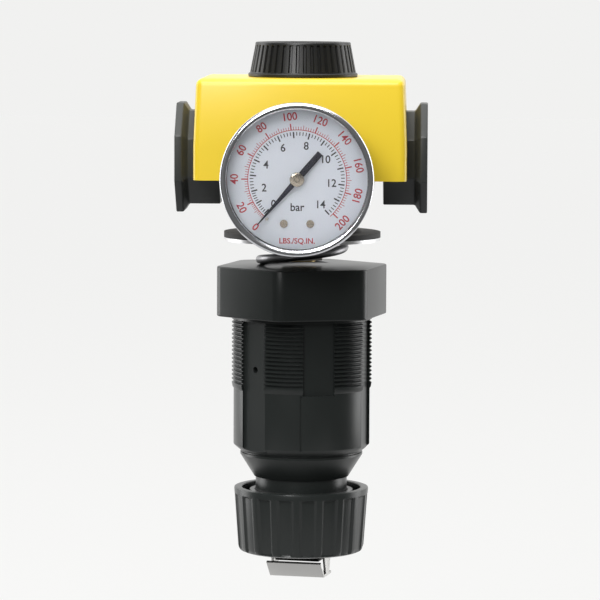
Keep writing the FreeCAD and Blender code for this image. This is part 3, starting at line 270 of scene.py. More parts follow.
def makeSurfaceGrain():
    # Mottles colour and roughness a little, and puts out a fine height for a Bump node.
    group, entry, leave = newGroup("surfaceGrain", [
        ("Colour", "NodeSocketColor", (0.5, 0.5, 0.5, 1)),
        ("Shade", "NodeSocketColor", (0.4, 0.4, 0.4, 1)),
        ("Size", "NodeSocketFloat", 900.0),
        ("Roughness Low", "NodeSocketFloat", 0.3),
        ("Roughness High", "NodeSocketFloat", 0.45),
    ], [
        ("Colour", "NodeSocketColor"),
        ("Roughness", "NodeSocketFloat"),
        ("Height", "NodeSocketFloat"),
    ])
    nodes, links = group.nodes, group.links
    place = nodes.new("ShaderNodeTexCoord")
    fine = nodes.new("ShaderNodeTexNoise")
    fine.inputs["Detail"].default_value = 4
    broad = nodes.new("ShaderNodeTexNoise")
    broad.inputs["Scale"].default_value = 45
    broad.inputs["Detail"].default_value = 5
    mix = nodes.new("ShaderNodeMix")
    mix.data_type = "RGBA"
    spread = nodes.new("ShaderNodeMapRange")
    links.new(place.outputs["Object"], fine.inputs["Vector"])
    links.new(place.outputs["Object"], broad.inputs["Vector"])
    links.new(entry.outputs["Size"], fine.inputs["Scale"])
    links.new(broad.outputs["Fac"], mix.inputs["Factor"])
    links.new(entry.outputs["Colour"], mix.inputs["A"])
    links.new(entry.outputs["Shade"], mix.inputs["B"])
    links.new(broad.outputs["Fac"], spread.inputs["Value"])
    links.new(entry.outputs["Roughness Low"], spread.inputs["To Min"])
    links.new(entry.outputs["Roughness High"], spread.inputs["To Max"])
    links.new(mix.outputs["Result"], leave.inputs["Colour"])
    links.new(spread.outputs["Result"], leave.inputs["Roughness"])
    links.new(fine.outputs["Fac"], leave.inputs["Height"])
    return group


surfaceGrain = makeSurfaceGrain()
reliefDepth = 0.02 * mm
glassIndex = 1.45


def finishWith(name, colour, shade, roughness, grain=900.0, bump=0.05, metallic=0.0, coat=0.0,
               coatRoughness=0.1, specular=0.5, transmission=0.0):
    material = bpy.data.materials.new(name)
    material.use_nodes = True
    nodes, links = material.node_tree.nodes, material.node_tree.links
    shader = nodes["Principled BSDF"]
    effect = nodes.new("ShaderNodeGroup")
    effect.node_tree = surfaceGrain
    effect.inputs["Colour"].default_value = (*colour, 1)
    effect.inputs["Shade"].default_value = (*shade, 1)
    effect.inputs["Size"].default_value = grain
    effect.inputs["Roughness Low"].default_value = roughness[0]
    effect.inputs["Roughness High"].default_value = roughness[1]
    relief = nodes.new("ShaderNodeBump")
    relief.inputs["Strength"].default_value = bump
    relief.inputs["Distance"].default_value = reliefDepth
    links.new(effect.outputs["Colour"], shader.inputs["Base Color"])
    links.new(effect.outputs["Roughness"], shader.inputs["Roughness"])
    links.new(effect.outputs["Height"], relief.inputs["Height"])
    links.new(relief.outputs["Normal"], shader.inputs["Normal"])
    shader.inputs["Metallic"].default_value = metallic
    shader.inputs["Coat Weight"].default_value = coat
    shader.inputs["Coat Roughness"].default_value = coatRoughness
    shader.inputs["Specular IOR Level"].default_value = specular
    shader.inputs["Transmission Weight"].default_value = transmission
    shader.inputs["IOR"].default_value = glassIndex
    return material


stovedBlack = finishWith("stovedBlack", (0.030, 0.033, 0.032), (0.038, 0.041, 0.040), (0.34, 0.44),
                         grain=1400, bump=0.25)
mouldedBlack = finishWith("mouldedBlack", (0.015, 0.018, 0.017), (0.020, 0.023, 0.022), (0.26, 0.36),
                          grain=1100, bump=0.15)
capBlack = finishWith("capBlack", (0.008, 0.0085, 0.0085), (0.012, 0.0125, 0.0125), (0.3, 0.42),
                      grain=1200, bump=0.15)
coverYellow = finishWith("coverYellow", (0.86, 0.62, 0.035), (0.82, 0.585, 0.032), (0.3, 0.38),
                         grain=700, bump=0.06, coat=0.25, coatRoughness=0.2)
bailSteel = finishWith("bailSteel", (0.66, 0.655, 0.64), (0.56, 0.555, 0.54), (0.36, 0.48), grain=2200,
                       bump=0.2, metallic=1.0)
platedSteel = finishWith("platedSteel", (0.62, 0.60, 0.55), (0.5, 0.48, 0.44), (0.2, 0.32), metallic=1.0)
springWire = finishWith("springWire", (0.38, 0.38, 0.39), (0.3, 0.3, 0.31), (0.3, 0.42), metallic=1.0)
turnedBrass = finishWith("turnedBrass", (0.72, 0.52, 0.22), (0.62, 0.44, 0.18), (0.22, 0.36), metallic=1.0)
pressedAluminium = finishWith("pressedAluminium", (0.8, 0.8, 0.81), (0.7, 0.7, 0.71), (0.3, 0.4),
                              metallic=1.0)
sealRubber = finishWith("sealRubber", (0.015, 0.015, 0.015), (0.03, 0.03, 0.03), (0.55, 0.7), bump=0.3)
casePaint = finishWith("casePaint", (0.012, 0.012, 0.013), (0.018, 0.018, 0.018), (0.25, 0.35), bump=0.1)
bezelChrome = finishWith("bezelChrome", (0.84, 0.85, 0.88), (0.78, 0.79, 0.82), (0.16, 0.24),
                         metallic=1.0, bump=0.02)
dialEnamel = finishWith("dialEnamel", (0.80, 0.84, 0.90), (0.77, 0.81, 0.88), (0.4, 0.5), bump=0.03)
scaleRed = finishWith("scaleRed", (0.55, 0.03, 0.055), (0.5, 0.028, 0.05), (0.45, 0.55), bump=0.03)
scaleBlack = finishWith("scaleBlack", (0.02, 0.02, 0.03), (0.028, 0.028, 0.04), (0.45, 0.55), bump=0.03)
pointerEnamel = finishWith("pointerEnamel", (0.012, 0.012, 0.025), (0.02, 0.02, 0.035), (0.45, 0.55),
                           bump=0.03, specular=0.25)
hubNickel = finishWith("hubNickel", (0.5, 0.44, 0.36), (0.42, 0.37, 0.3), (0.2, 0.3), metallic=1.0)
clearPane = finishWith("clearPane", (1.0, 1.0, 1.0), (0.99, 0.99, 1.0), (0.0, 0.02), bump=0.0,
                       transmission=1.0)
print("finishes mixed")


# cast body with its clamp flanges
castBody = {
    "hair": 0.03 * mm, "panelHalfWidth": 38.1 * mm, "footHalfWidth": 36.9 * mm, "lipHalfDepth": 16.6 * mm,
    "lipTop": 25.1 * mm, "coverGap": 0.05 * mm, "bulgeRadius": 35.0 * mm, "edge": 1.3 * mm,
    "bulgeEdge": 0.7 * mm, "portRadius": 9.3 * mm, "portDepth": 15 * mm, "threadDepth": 0.9 * mm,
}
flangeSpec = {
    "sides": 8, "flats": 40.2 * mm, "neckFlats": 34.3 * mm, "plate": 2.7 * mm, "slope": 1.9 * mm,
    "edge": 0.45 * mm, "root": 30 * mm,
}
portThread = {
    "chamfer": 0.7 * mm, "chamferDepth": 0.8 * mm, "start": 1.8 * mm, "runout": 3 * mm, "pitch": 1.8 * mm,
    "slope": 0.7 * mm, "flat": 0.1 * mm, "passageRadius": 7 * mm, "passageSlope": 1.5 * mm,
    "passageEnd": 30.5 * mm,
}


def octagonRadius(flats):
    return flats / 2 / math.cos(math.pi / flangeSpec["sides"])


def makePort(reach):
    # The port is a turned wall with its thread, closed at its blind end.
    spec = portThread
    bore, root = castBody["portRadius"], castBody["portRadius"] + castBody["threadDepth"]
    foot = reach - castBody["portDepth"]
    profile = [(bore + spec["chamfer"], reach), (bore, reach - spec["chamferDepth"])]
    for index in range(int((castBody["portDepth"] - spec["runout"]) / spec["pitch"])):
        level = reach - spec["start"] - index * spec["pitch"]
        flat = level - spec["slope"] - spec["flat"]
        profile += [(bore, level), (root, level - spec["slope"]), (root, flat), (bore, flat - spec["slope"])]
    profile += [(bore, foot), (spec["passageRadius"], foot - spec["passageSlope"]),
                (spec["passageRadius"], spec["passageEnd"])]
    return turned("port", profile, segments=96, filled=(False, True))


def makeFlange(sign):
    spec = flangeSpec
    neck, rim = octagonRadius(spec["neckFlats"]), octagonRadius(spec["flats"])
    reach = bodyHigh.x
    flange = turned("flange", [
        (neck, spec["root"]),
        (neck, reach - spec["plate"] - spec["slope"]),
        (rim, reach - spec["plate"]),
        (rim, reach),
    ], segments=spec["sides"], filled=(True, True), turn=math.pi / spec["sides"])
    roundEdges(flange, spec["edge"], 3, 20)
    chooseFaces(flange, lambda centre: centre.z > reach - tolerance)
    bpy.ops.mesh.delete(type="ONLY_FACE")
    leaveEdit()
    flange = joined("flange", [flange, makePort(reach)])
    chooseCorners(flange, lambda co: co.z > reach - tolerance)
    bpy.ops.mesh.select_mode(type="EDGE")
    bpy.ops.mesh.bridge_edge_loops()
    bpy.ops.mesh.select_all(action="SELECT")
    bpy.ops.mesh.normals_make_consistent(inside=False)
    leaveEdit()
    return aimed(flange, "+X" if sign > 0 else "-X", (0, 0, portHeight))


def makeCastBody():
    spec = castBody
    panel, hair = spec["panelHalfWidth"], spec["hair"]
    top = coverLow.z - spec["coverGap"]
    shell = box("castBody", (-panel, bodyLow.y, bodyLow.z), (panel, bodyHigh.y, top))
    split(shell, spec["lipTop"])
    squeeze(shell, lambda co: co.z < spec["lipTop"] + tolerance, (1, spec["lipHalfDepth"] / bodyHigh.y, 1))
    squeeze(shell, lambda co: co.z < bodyLow.z + tolerance, (spec["footHalfWidth"] / panel, 1, 1))
    roundEdges(shell, spec["edge"], 3, 20)
    # the bulge stays a hair inside the block, so that no two faces lie in one plane
    bulge = rod("bulge", spec["bulgeRadius"], bodyLow.z + hair, top - hair, segments=192)
    limit = box("bulgeLimit", (-bodyHigh.x, bodyLow.y + hair, 0),
                (bodyHigh.x, bodyHigh.y - hair, coverHigh.z))
    combine(bulge, limit, "INTERSECT")
    roundEdges(bulge, spec["bulgeEdge"], 3, 40)
    combine(shell, bulge, "UNION")
    wayRadius = spec["portRadius"] + spec["threadDepth"]
    for sign in (-1, 1):
        near, far = sorted((sign * (bodyHigh.x - spec["portDepth"]), sign * bodyHigh.x))
        combine(shell, rod("portWay", wayRadius, near, far, "X", (0, portHeight)))
    # the flanges are set into the casting as whole shells of their own
    shell = joined("castBody", [shell, makeFlange(-1), makeFlange(1)])
    smooth(shell, 28)
    return dress(shell, stovedBlack, "housing", "black_cast", "body")


makeCastBody()
print("cast body made")


# yellow cover
coverSpec = {
    "edge": 2.6 * mm, "wall": 2.4 * mm, "breakHeight": 63.5 * mm, "lean": 0.6 * mm, "taper": 1.0 * mm,
    "slotFlats": 35.0 * mm, "slotFoot": 45 * mm, "bossSlot": 10.3 * mm, "capHole": 17.4 * mm,
    "through": 50 * mm, "overlap": 1 * mm,
}


def makeCover():
    spec = coverSpec
    wall, through = spec["wall"], spec["through"]
    shell = box("topCover", coverLow, coverHigh)
    split(shell, spec["breakHeight"])
    narrowing = (coverHigh.x - spec["taper"]) / coverHigh.x
    thinning = (coverHigh.y - spec["lean"]) / coverHigh.y
    squeeze(shell, lambda co: co.z > coverHigh.z - tolerance, (narrowing, thinning, 1))
    # the top and the upright corners are rounded, the lower rim stays crisp
    roundChosen(shell, spec["edge"], 4, lambda one, other: (
        upright(one, other) or min(one.z, other.z) > coverHigh.z - tolerance))
    combine(shell, box("coverHollow", (coverLow.x + wall, coverLow.y + wall, coverLow.z - spec["overlap"]),
                       (coverHigh.x - wall, coverHigh.y - wall, coverHigh.z - wall)))
    combine(shell, rod("capHole", spec["capHole"], coverHigh.z - 2 * wall, capHigh.z))
    radius = octagonRadius(spec["slotFlats"])
    slot = turned("neckSlot", [(radius, -through), (radius, through)], 8, (True, True), math.pi / 8)
    combine(shell, aimed(slot, "+X", (0, 0, portHeight)))
    combine(shell, box("slotMouth", (-through, -spec["slotFlats"] / 2, spec["slotFoot"]),
                       (through, spec["slotFlats"] / 2, portHeight)))
    combine(shell, rod("bossSlot", spec["bossSlot"], -through, through, "Y", (0, gaugeHeight)))
    smooth(shell, 28)
    return dress(shell, coverYellow, "housing", "yellow_cover", "top_cover")


makeCover()
print("cover made")


# fluted valve cap
capSpec = {
    "flangeRadius": 20.2 * mm, "flange": 1.5 * mm, "flangeBreak": 0.35 * mm, "lowRadius": 19.5 * mm,
    "highRadius": 17.6 * mm, "rim": 1.0 * mm, "rimWidth": 2.2 * mm, "ribs": 44, "ribDepth": 0.75 * mm,
    "ribSpan": (0.30, 0.70), "dish": 0.6 * mm, "dishRadius": 2 * mm, "skirtRadius": 16.6 * mm,
    "skirtWall": 2.6 * mm, "seatGap": 0.05 * mm,
}


def fluteWall(piece, count, low, high, minRadius, shape):
    # Pulls the wall's corners in towards the axis between low and high.
    for corner in piece.data.vertices:
        radius = math.hypot(corner.co.x, corner.co.y)
        if radius < minRadius or not low <= corner.co.z <= high:
            continue
        phase = (math.atan2(corner.co.y, corner.co.x) * count / (2 * math.pi)) % 1.0
        factor = (radius - shape(phase)) / radius
        corner.co.x *= factor
        corner.co.y *= factor


def makeCap():
    spec = capSpec
    base, top, foot = coverHigh.z + spec["flange"], capHigh.z, capLow.z
    seat = coverHigh.z + spec["seatGap"]
    skirt, flange = spec["skirtRadius"], spec["flangeRadius"]
    low, high, brim = spec["lowRadius"], spec["highRadius"], top - spec["rim"]
    cap = turned("flutedCap", [
        (skirt - spec["skirtWall"], foot), (skirt, foot), (skirt, seat),
        (flange - 0.3 * mm, seat), (flange, coverHigh.z + 0.35 * mm), (flange, base - 0.4 * mm),
        (flange - spec["flangeBreak"], base), (low + 0.05 * mm, base), (low, base + 0.3 * mm),
        (low - 0.01 * mm, base + 0.35 * mm), (high + 0.05 * mm, brim - 0.3 * mm), (high + 0.02 * mm, brim),
        (high, top - 0.5 * mm), (high - 0.15 * mm, top - 0.15 * mm), (high - 0.5 * mm, top),
        (high - spec["rimWidth"], top), (high - 2.5 * mm, top - 0.2 * mm),
        (high - 2.8 * mm, top - spec["dish"]), (spec["dishRadius"], top - spec["dish"]),
    ], segments=spec["ribs"] * 8, filled=(True, True))
    ribStart, ribStop = spec["ribSpan"]
    fluteWall(cap, spec["ribs"], base + 0.32 * mm, brim - 0.2 * mm, high - 0.2 * mm,
              lambda phase: spec["ribDepth"] if ribStart <= phase <= ribStop else 0.0)
    smooth(cap, 30)
    return dress(cap, capBlack, "cap", "cap_plastic", "valve_cap")


makeCap()
print("cap made")


# bonnet: hexagon collar, panel thread, ribs, cone and neck
bonnetSpec = {
    "sides": 6, "vertexRadius": 33.15 * mm, "corner": 3.0 * mm, "edge": 0.5 * mm, "turn": math.radians(-13.5),
    "threadRadius": 26.0 * mm, "threadDepth": 0.85 * mm, "pitch": 1.5 * mm, "threadStart": 1.2 * mm,
    "threadEnd": 26.3 * mm, "ribRadius": 25.3 * mm, "ribEnd": 48.1 * mm, "ribFoot": 50.1 * mm,
    "footRadius": 22.9 * mm, "bandRadius": 22.75 * mm, "bandEnd": 52.0 * mm, "bandGroove": 0.45 * mm,
    "channelFloor": 23.8 * mm, "channelOuter": 32 * mm, "channelAngle": math.radians(28),
    "coneEnd": 60.0 * mm, "neckRadius": 17.0 * mm, "fillet": 0.6 * mm, "insert": 1 * mm,
    "seamAngle": math.radians(-88.5), "seamDepth": 0.5 * mm, "seamHalfWidth": 0.35 * mm, "seamOuter": 27 * mm,
    "ventHeight": -19 * mm, "ventRadius": 1.2 * mm, "ventFloor": 18 * mm,
}


def bonnetProfile():
    spec = bonnetSpec
    neck, band, rib, thread = (spec[part + "Radius"] for part in ("neck", "band", "rib", "thread"))
    ribFoot, ribEnd, threadEnd = spec["ribFoot"], spec["ribEnd"], spec["threadEnd"]
    groove = band - spec["bandGroove"]
    points = [
        (neck - spec["fillet"], bonnetLow.z), (neck, bonnetLow.z + spec["fillet"]),
        (neck, -spec["coneEnd"] - 0.1 * mm), (neck + 0.6 * mm, -spec["coneEnd"]),
        (band - 0.2 * mm, -spec["bandEnd"] - 0.1 * mm), (band, -spec["bandEnd"] + 0.2 * mm),
        (band, -ribFoot - 0.9 * mm), (groove, -ribFoot - 0.7 * mm),
        (groove, -ribFoot - 0.35 * mm), (band, -ribFoot - 0.15 * mm),
        (spec["footRadius"], -ribFoot), (rib - 0.15 * mm, -ribEnd - 0.1 * mm),
        (rib, -ribEnd + 0.3 * mm), (rib, -threadEnd - 0.9 * mm),
        (thread - 0.25 * mm, -threadEnd - 0.3 * mm),
    ]
    # each groove of the thread, from the lowest up: flank, floor, flank
    root, pitch = thread - spec["threadDepth"], spec["pitch"]
    for index in reversed(range(int((threadEnd - spec["threadStart"]) / pitch))):
        top = -spec["threadStart"] - index * pitch
        points += [(thread, top - 0.92 * pitch), (root, top - 0.54 * pitch),
                   (root, top - 0.46 * pitch), (thread, top - 0.08 * pitch)]
    return points + [(thread, -0.2 * mm), (thread, spec["insert"])]


def makeBonnet():
    spec = bonnetSpec
    vertex, turn, sides = spec["vertexRadius"], spec["turn"], spec["sides"]
    collar = turned("bonnetShell", [(vertex, 0), (vertex, bodyLow.z)], sides, (True, True), turn)
    roundChosen(collar, spec["corner"], 5, upright)
    roundEdges(collar, spec["edge"], 3, 60)
    neck = turned("threadedNeck", bonnetProfile(), segments=240, filled=(True, True))
    channelFloor, outer = spec["channelFloor"], spec["channelOuter"]
    half = channelFloor * math.tan(spec["channelAngle"] / 2)
    threadFoot = -spec["threadEnd"] - spec["pitch"]
    for index in range(sides):
        end = threadFoot if index % 2 else -spec["ribFoot"] - tolerance
        channel = box("channel", (channelFloor, -half, end), (outer, half, -spec["threadStart"]))
        combine(neck, twisted(channel, turn + index * math.pi / 3))
    seam = box("mouldSeam", (spec["ribRadius"] - spec["seamDepth"], -spec["seamHalfWidth"], -spec["ribEnd"]),
               (spec["seamOuter"], spec["seamHalfWidth"], threadFoot))
    combine(neck, twisted(seam, spec["seamAngle"]))
    vent = rod("vent", spec["ventRadius"], spec["ventFloor"], outer, "X", (0, spec["ventHeight"]), 32)
    combine(neck, twisted(vent, turn + 4 * math.pi / 3))
    combine(collar, neck, "UNION")
    smooth(collar, 30)
    return dress(collar, mouldedBlack, "housing", "black_plastic", "bonnet")


makeBonnet()
print("bonnet made")


# adjusting knob
knobSpec = {
    "foot": -88.3 * mm, "underside": -87.1 * mm, "radius": 25.0 * mm, "taper": 1.7 * mm, "inner": 22.05 * mm,
    "innerTaper": 0.8 * mm, "floor": 3.0 * mm, "band": 2.2 * mm, "flutes": 18, "depth": 0.7 * mm,
    "land": 0.12, "landSlope": 0.09, "skirtInner": 17.45 * mm, "skirtOuter": 19.15 * mm,
    "skirtTop": -65.2 * mm, "hub": 9.0 * mm, "hubTop": -73.2 * mm, "hubBore": 3 * mm, "recess": 18.6 * mm,
    "boss": 3.3 * mm, "bossHalfWidth": 8.5 * mm, "bossHalfDepth": 6 * mm, "bossEdge": 0.5 * mm,
    "slotNear": 9.2 * mm, "slotFar": 11.9 * mm, "slotHalf": 5.6 * mm, "slotBelow": 1 * mm,
    "slotAbove": 4 * mm,
}


def makeKnob():
    spec = knobSpec
    low, high = spec["foot"], knobHigh.z
    outer, inner, underside = spec["radius"], spec["inner"], spec["underside"]
    foot, floor, wallTop = outer - spec["taper"], low + spec["floor"], high - spec["band"]

    def wall(z):
        return foot + (outer - foot) * (z - low) / (high - low)

    def flute(phase):
        # broad shallow hollows with narrow lands between them
        away = min(phase, 1 - phase) - spec["land"]
        return 0.0 if away < 0 else spec["depth"] * min(1.0, away / spec["landSlope"])

    knob = turned("knobGrip", [
        (spec["recess"], underside), (spec["recess"] + 0.6 * mm, low + 0.3 * mm),
        (foot - 3 * mm, low), (foot - 1.6 * mm, low + 0.15 * mm), (foot - 0.6 * mm, low + 0.6 * mm),
        (foot - 0.1 * mm, low + 1.3 * mm), (wall(low + 2.2 * mm), low + 2.2 * mm),
        (wall(wallTop - 0.6 * mm), wallTop - 0.6 * mm), (wall(wallTop), wallTop),
        (wall(high - 0.5 * mm), high - 0.5 * mm), (outer - 0.15 * mm, high - 0.12 * mm),
        (outer - 0.5 * mm, high), (inner + 0.3 * mm, high), (inner, high - 0.3 * mm),
        (inner - spec["innerTaper"], floor), (spec["skirtOuter"], floor),
        (spec["skirtOuter"], spec["skirtTop"]), (spec["skirtInner"], spec["skirtTop"]),
        (spec["skirtInner"], floor), (spec["hub"], floor), (spec["hub"], spec["hubTop"]),
        (spec["hubBore"], spec["hubTop"]),
    ], segments=spec["flutes"] * 16, filled=(True, True))
    fluteWall(knob, spec["flutes"], low + 1.0 * mm, wallTop - 0.3 * mm, inner + 0.2 * mm, flute)
    width, depth = spec["bossHalfWidth"], spec["bossHalfDepth"]
    boss = box("knobBoss", (-width, -depth, low - spec["boss"]), (width, depth, underside + 1 * mm))
    roundEdges(boss, spec["bossEdge"], 2)
    combine(knob, boss, "UNION")
    for sign in (-1, 1):
        near, far = sorted((sign * spec["slotNear"], sign * spec["slotFar"]))
        combine(knob, box("bailSlot", (near, -spec["slotHalf"], low - spec["slotBelow"]),
                          (far, spec["slotHalf"], low + spec["slotAbove"])))
    twisted(knob, knobTwist)
    smooth(knob, 30)
    return dress(knob, mouldedBlack, "knob", "black_plastic", "adjusting_knob")


makeKnob()
print("knob made")


# lock bail: a bent strip
bailSpec = {
    "halfWidth": 10.4 * mm, "sheet": 1.0 * mm, "halfDepth": 5.4 * mm, "lip": 5.4 * mm, "armTop": -82.7 * mm,
    "waist": -88.1 * mm, "footShare": 0.35, "hook": 1.2 * mm, "hookHalfDepth": 3.2 * mm, "edge": 0.18 * mm,
}


def makeBailArm(sign):
    spec = bailSpec
    bottom, top, depth = bailLow.z, spec["armTop"], spec["halfDepth"]
    inside = sign * (spec["halfWidth"] - spec["sheet"])
    near, far = sorted((inside, sign * spec["halfWidth"]))
    arm = box("bailArm", (near, -depth, bottom), (far, depth, top))
    split(arm, spec["waist"])
    squeeze(arm, lambda co: co.z < bottom + tolerance, (1, spec["footShare"], 1))
    near, far = sorted((sign * (spec["halfWidth"] + spec["hook"]), inside))
    hook = box("bailHook", (near, -spec["hookHalfDepth"], top - spec["sheet"]),
               (far, spec["hookHalfDepth"], top))
    return combine(arm, hook, "UNION")


def makeBail():
    spec = bailSpec
    clearSelection()
    bpy.ops.mesh.primitive_plane_add(size=1, location=(0, 0, bailLow.z + spec["sheet"]))
    strip = newest("lockBail")
    strip.scale = (2 * spec["halfWidth"], 2 * spec["halfDepth"], 1)
    settle(strip)
    choose(strip, "EDGE", strip.data.edges, lambda edge: all(
        end.y < -spec["halfDepth"] + tolerance for end in edgeEnds(strip, edge)))
    bpy.ops.mesh.extrude_edges_move(TRANSFORM_OT_translate={"value": (0, -spec["lip"], spec["lip"])})
    leaveEdit()
    useModifier(strip, "SOLIDIFY", thickness=spec["sheet"], offset=-1, use_even_offset=True)
    for arm in [makeBailArm(-1), makeBailArm(1)]:
        combine(strip, arm, "UNION")
    roundEdges(strip, spec["edge"], 2, 30)
    twisted(strip, knobTwist)
    smooth(strip, 30)
    return dress(strip, bailSteel, "bail", "bail_steel", "lock_bail")


makeBail()
print("bail made")


# gauge: case, bezel, window, dial, pointer
gaugeSpec = {
    "bezelRadius": 27.4 * mm, "opening": 25.0 * mm, "caseRadius": 26.5 * mm, "caseWall": 1.3 * mm,
    "caseBack": 1.4 * mm, "bezelGap": 0.03 * mm, "lip": 1.2 * mm, "stemRadius": 4.7 * mm,
}
# the print on the dial: a reach is a tick's outer end, and the other radii are inner ends or labels
printSpec = {
    "thickness": 0.06 * mm, "bold": 0.05 * mm, "squeeze": 0.95, "ringRadius": 17.6 * mm, "ringEnd": 139.5,
    "redLine": 0.24 * mm, "redReach": 19.9 * mm, "redMiddle": 1.7 * mm, "redMinor": 1.15 * mm,
    "redLabels": 22.3 * mm, "blackLine": 0.3 * mm, "blackReach": 16.9 * mm, "blackMajor": 14.7 * mm,
    "blackMinor": 15.6 * mm, "blackLabels": 12.2 * mm, "figure": 3.9 * mm,
    "bar": 4.0 * mm, "barRadius": 10.0 * mm, "pounds": 2.7 * mm, "poundsRadius": 22.0 * mm,
}
# each value on a scale with its angle, clockwise from the top
redMarks = [(0, -139.0), (20, -117.3), (40, -90.0), (60, -62.7), (80, -34.8), (100, -7.3), (120, 21.0),
            (140, 48.2), (160, 76.5), (180, 105.2), (200, 133.4)]
blackMarks = [(0, -136.5), (2, -105.0), (4, -65.6), (6, -24.7), (8, 15.0), (10, 54.6), (12, 96.5),
              (14, 137.5)]


def onDial(radius, degrees, lift=0.0):
    # A point on the dial; degrees run clockwise from the top.
    angle = math.radians(degrees)
    return Vector((radius * math.sin(angle), dialLow.y - lift, gaugeHeight + radius * math.cos(angle)))


def stroke(name, inner, outer, degrees, width):
    thickness = printSpec["thickness"]
    middle = onDial((inner + outer) / 2, degrees, thickness / 2)
    clearSelection()
    bpy.ops.mesh.primitive_cube_add(size=1, location=middle, rotation=(0, math.radians(degrees), 0))
    mark = newest(name)
    mark.scale = (width, thickness, outer - inner)
    return settle(mark)


def printed(name, text, size, radius, degrees, turn=0.0, squeeze=1.0):
    thickness = printSpec["thickness"]
    clearSelection()
    bpy.ops.object.text_add(location=(0, 0, 0))
    label = newest(name)
    label.data.body = text
    label.data.size = size
    label.data.align_x = "CENTER"
    label.data.align_y = "CENTER"
    label.data.extrude = thickness / 2
    label.data.resolution_u = 4
    label.data.offset = printSpec["bold"]
    pick(label)
    bpy.ops.object.convert(target="MESH")
    label = bpy.context.object
    label.scale = (squeeze, 1, 1)
    settle(label)
    label.rotation_euler = (math.pi / 2, 0, 0)
    settle(label)
    label.rotation_euler = (0, math.radians(turn), 0)
    label.location = onDial(radius, degrees, thickness / 2)
    return settle(label)


def between(marks, share):
    # The angle at a share of the way along a scale, from its major marks.
    spot = share * (len(marks) - 1)
    index = min(int(spot), len(marks) - 2)
    low, high = marks[index][1], marks[index + 1][1]
    return low + (high - low) * (spot - index)


def makeRedRing():
    # A ring that is open below, between the two ends of the scale.
    spec = printSpec
    inner, outer = spec["ringRadius"] - spec["redLine"] / 2, spec["ringRadius"] + spec["redLine"] / 2
    thickness, openHalf = spec["thickness"], 180 - spec["ringEnd"]
    ring = turned("redRing", [(inner, 0), (outer, 0), (outer, thickness), (inner, thickness), (inner, 0)],
                  segments=180)
    aimed(ring, "-Y", (0, dialLow.y, gaugeHeight))

    def inGap(co):
        below = gaugeHeight - co.z
        return below > 0 and abs(math.degrees(math.atan2(co.x, below))) < openHalf

    chooseCorners(ring, inGap)
    bpy.ops.mesh.delete(type="VERT")
    bpy.ops.mesh.select_all(action="SELECT")
    bpy.ops.mesh.fill_holes(sides=8)
    bpy.ops.mesh.normals_make_consistent(inside=False)
    leaveEdit()
    return ring


def makeDialPrint():
    spec = printSpec
    ringRadius, redLine, blackLine = spec["ringRadius"], spec["redLine"], spec["blackLine"]
    figure, squeezed = spec["figure"], spec["squeeze"]
    reds, blacks = [makeRedRing()], []
    redSteps = 10 * (len(redMarks) - 1)
    for step in range(redSteps + 1):
        degrees = between(redMarks, step / redSteps)
        minor = spec["redMiddle"] if step % 5 == 0 else spec["redMinor"]
        reach = spec["redReach"] if step % 10 == 0 else ringRadius + minor
        reds.append(stroke("redTick", ringRadius, reach, degrees, redLine * (1.8 if step % 10 == 0 else 0.8)))
    blackSteps = 10 * (len(blackMarks) - 1)
    for step in range(blackSteps + 1):
        degrees = between(blackMarks, step / blackSteps)
        near, weight = (spec["blackMajor"], 1.6) if step % 5 == 0 else (spec["blackMinor"], 1.0)
        blacks.append(stroke("blackTick", near, spec["blackReach"], degrees, blackLine * weight))
    for value, degrees in redMarks:
        # the lowest figures stand the other way up
        turn = degrees + (180 if value in (20, 180, 200) else 0)
        reds.append(printed("redFigure", str(value), figure, spec["redLabels"], degrees, turn, squeezed))
    for value, degrees in blackMarks:
        blacks.append(printed("blackFigure", str(value), figure, spec["blackLabels"], degrees, 0, squeezed))
    blacks.append(printed("unitBar", "bar", spec["bar"], spec["barRadius"], 180, 0, squeezed))
    reds.append(printed("unitPounds", "LBS./SQ.IN.", spec["pounds"], spec["poundsRadius"], 180))
    for name, pieces, material in (("redPrint", reds, scaleRed), ("blackPrint", blacks, scaleBlack)):
        dress(joined(name, pieces), material, "housing", "dial_white")


def makeGauge():
    spec = gaugeSpec
    case, stem, back = spec["caseRadius"], spec["stemRadius"], spec["caseBack"]
    rim, hollow = caseHigh.y - windowHigh.y, case - spec["caseWall"]
    can = turned("gaugeCan", [
        (stem, 0), (case - 2.4 * mm, 0), (case - 0.9 * mm, 0.4 * mm), (case - 0.2 * mm, 1.4 * mm),
        (case, 3 * mm), (case, rim), (hollow, rim), (hollow, back), (stem, back), (stem, 0),
    ], segments=160)
    aimed(can, "-Y", (0, caseHigh.y, gaugeHeight))
    smooth(can)
    dress(can, casePaint, "housing", "gauge_steel", "gauge_case")
    outer, opening, fit = spec["bezelRadius"], spec["opening"], case + spec["bezelGap"]
    depth = bezelHigh.y - bezelLow.y
    lip = depth - spec["lip"]
    bezel = turned("gaugeBezel", [
        (fit, 0), (outer - 0.3 * mm, 0), (outer, 0.35 * mm), (outer, depth - 1.1 * mm),
        (outer - 0.22 * mm, depth - 0.45 * mm), (outer - 0.7 * mm, depth - 0.08 * mm),
        (outer - 1.2 * mm, depth), (opening + 0.55 * mm, depth - 0.12 * mm),
        (opening + 0.12 * mm, depth - 0.45 * mm),
        (opening, depth - 0.8 * mm), (opening, lip), (fit, lip), (fit, 0),
    ], segments=200)
    aimed(bezel, "-Y", (0, bezelHigh.y, gaugeHeight))
    smooth(bezel)
    dress(bezel, bezelChrome, "housing", "bezel_chrome", "gauge_bezel")


makeGauge()
makeDialPrint()
print("gauge made")


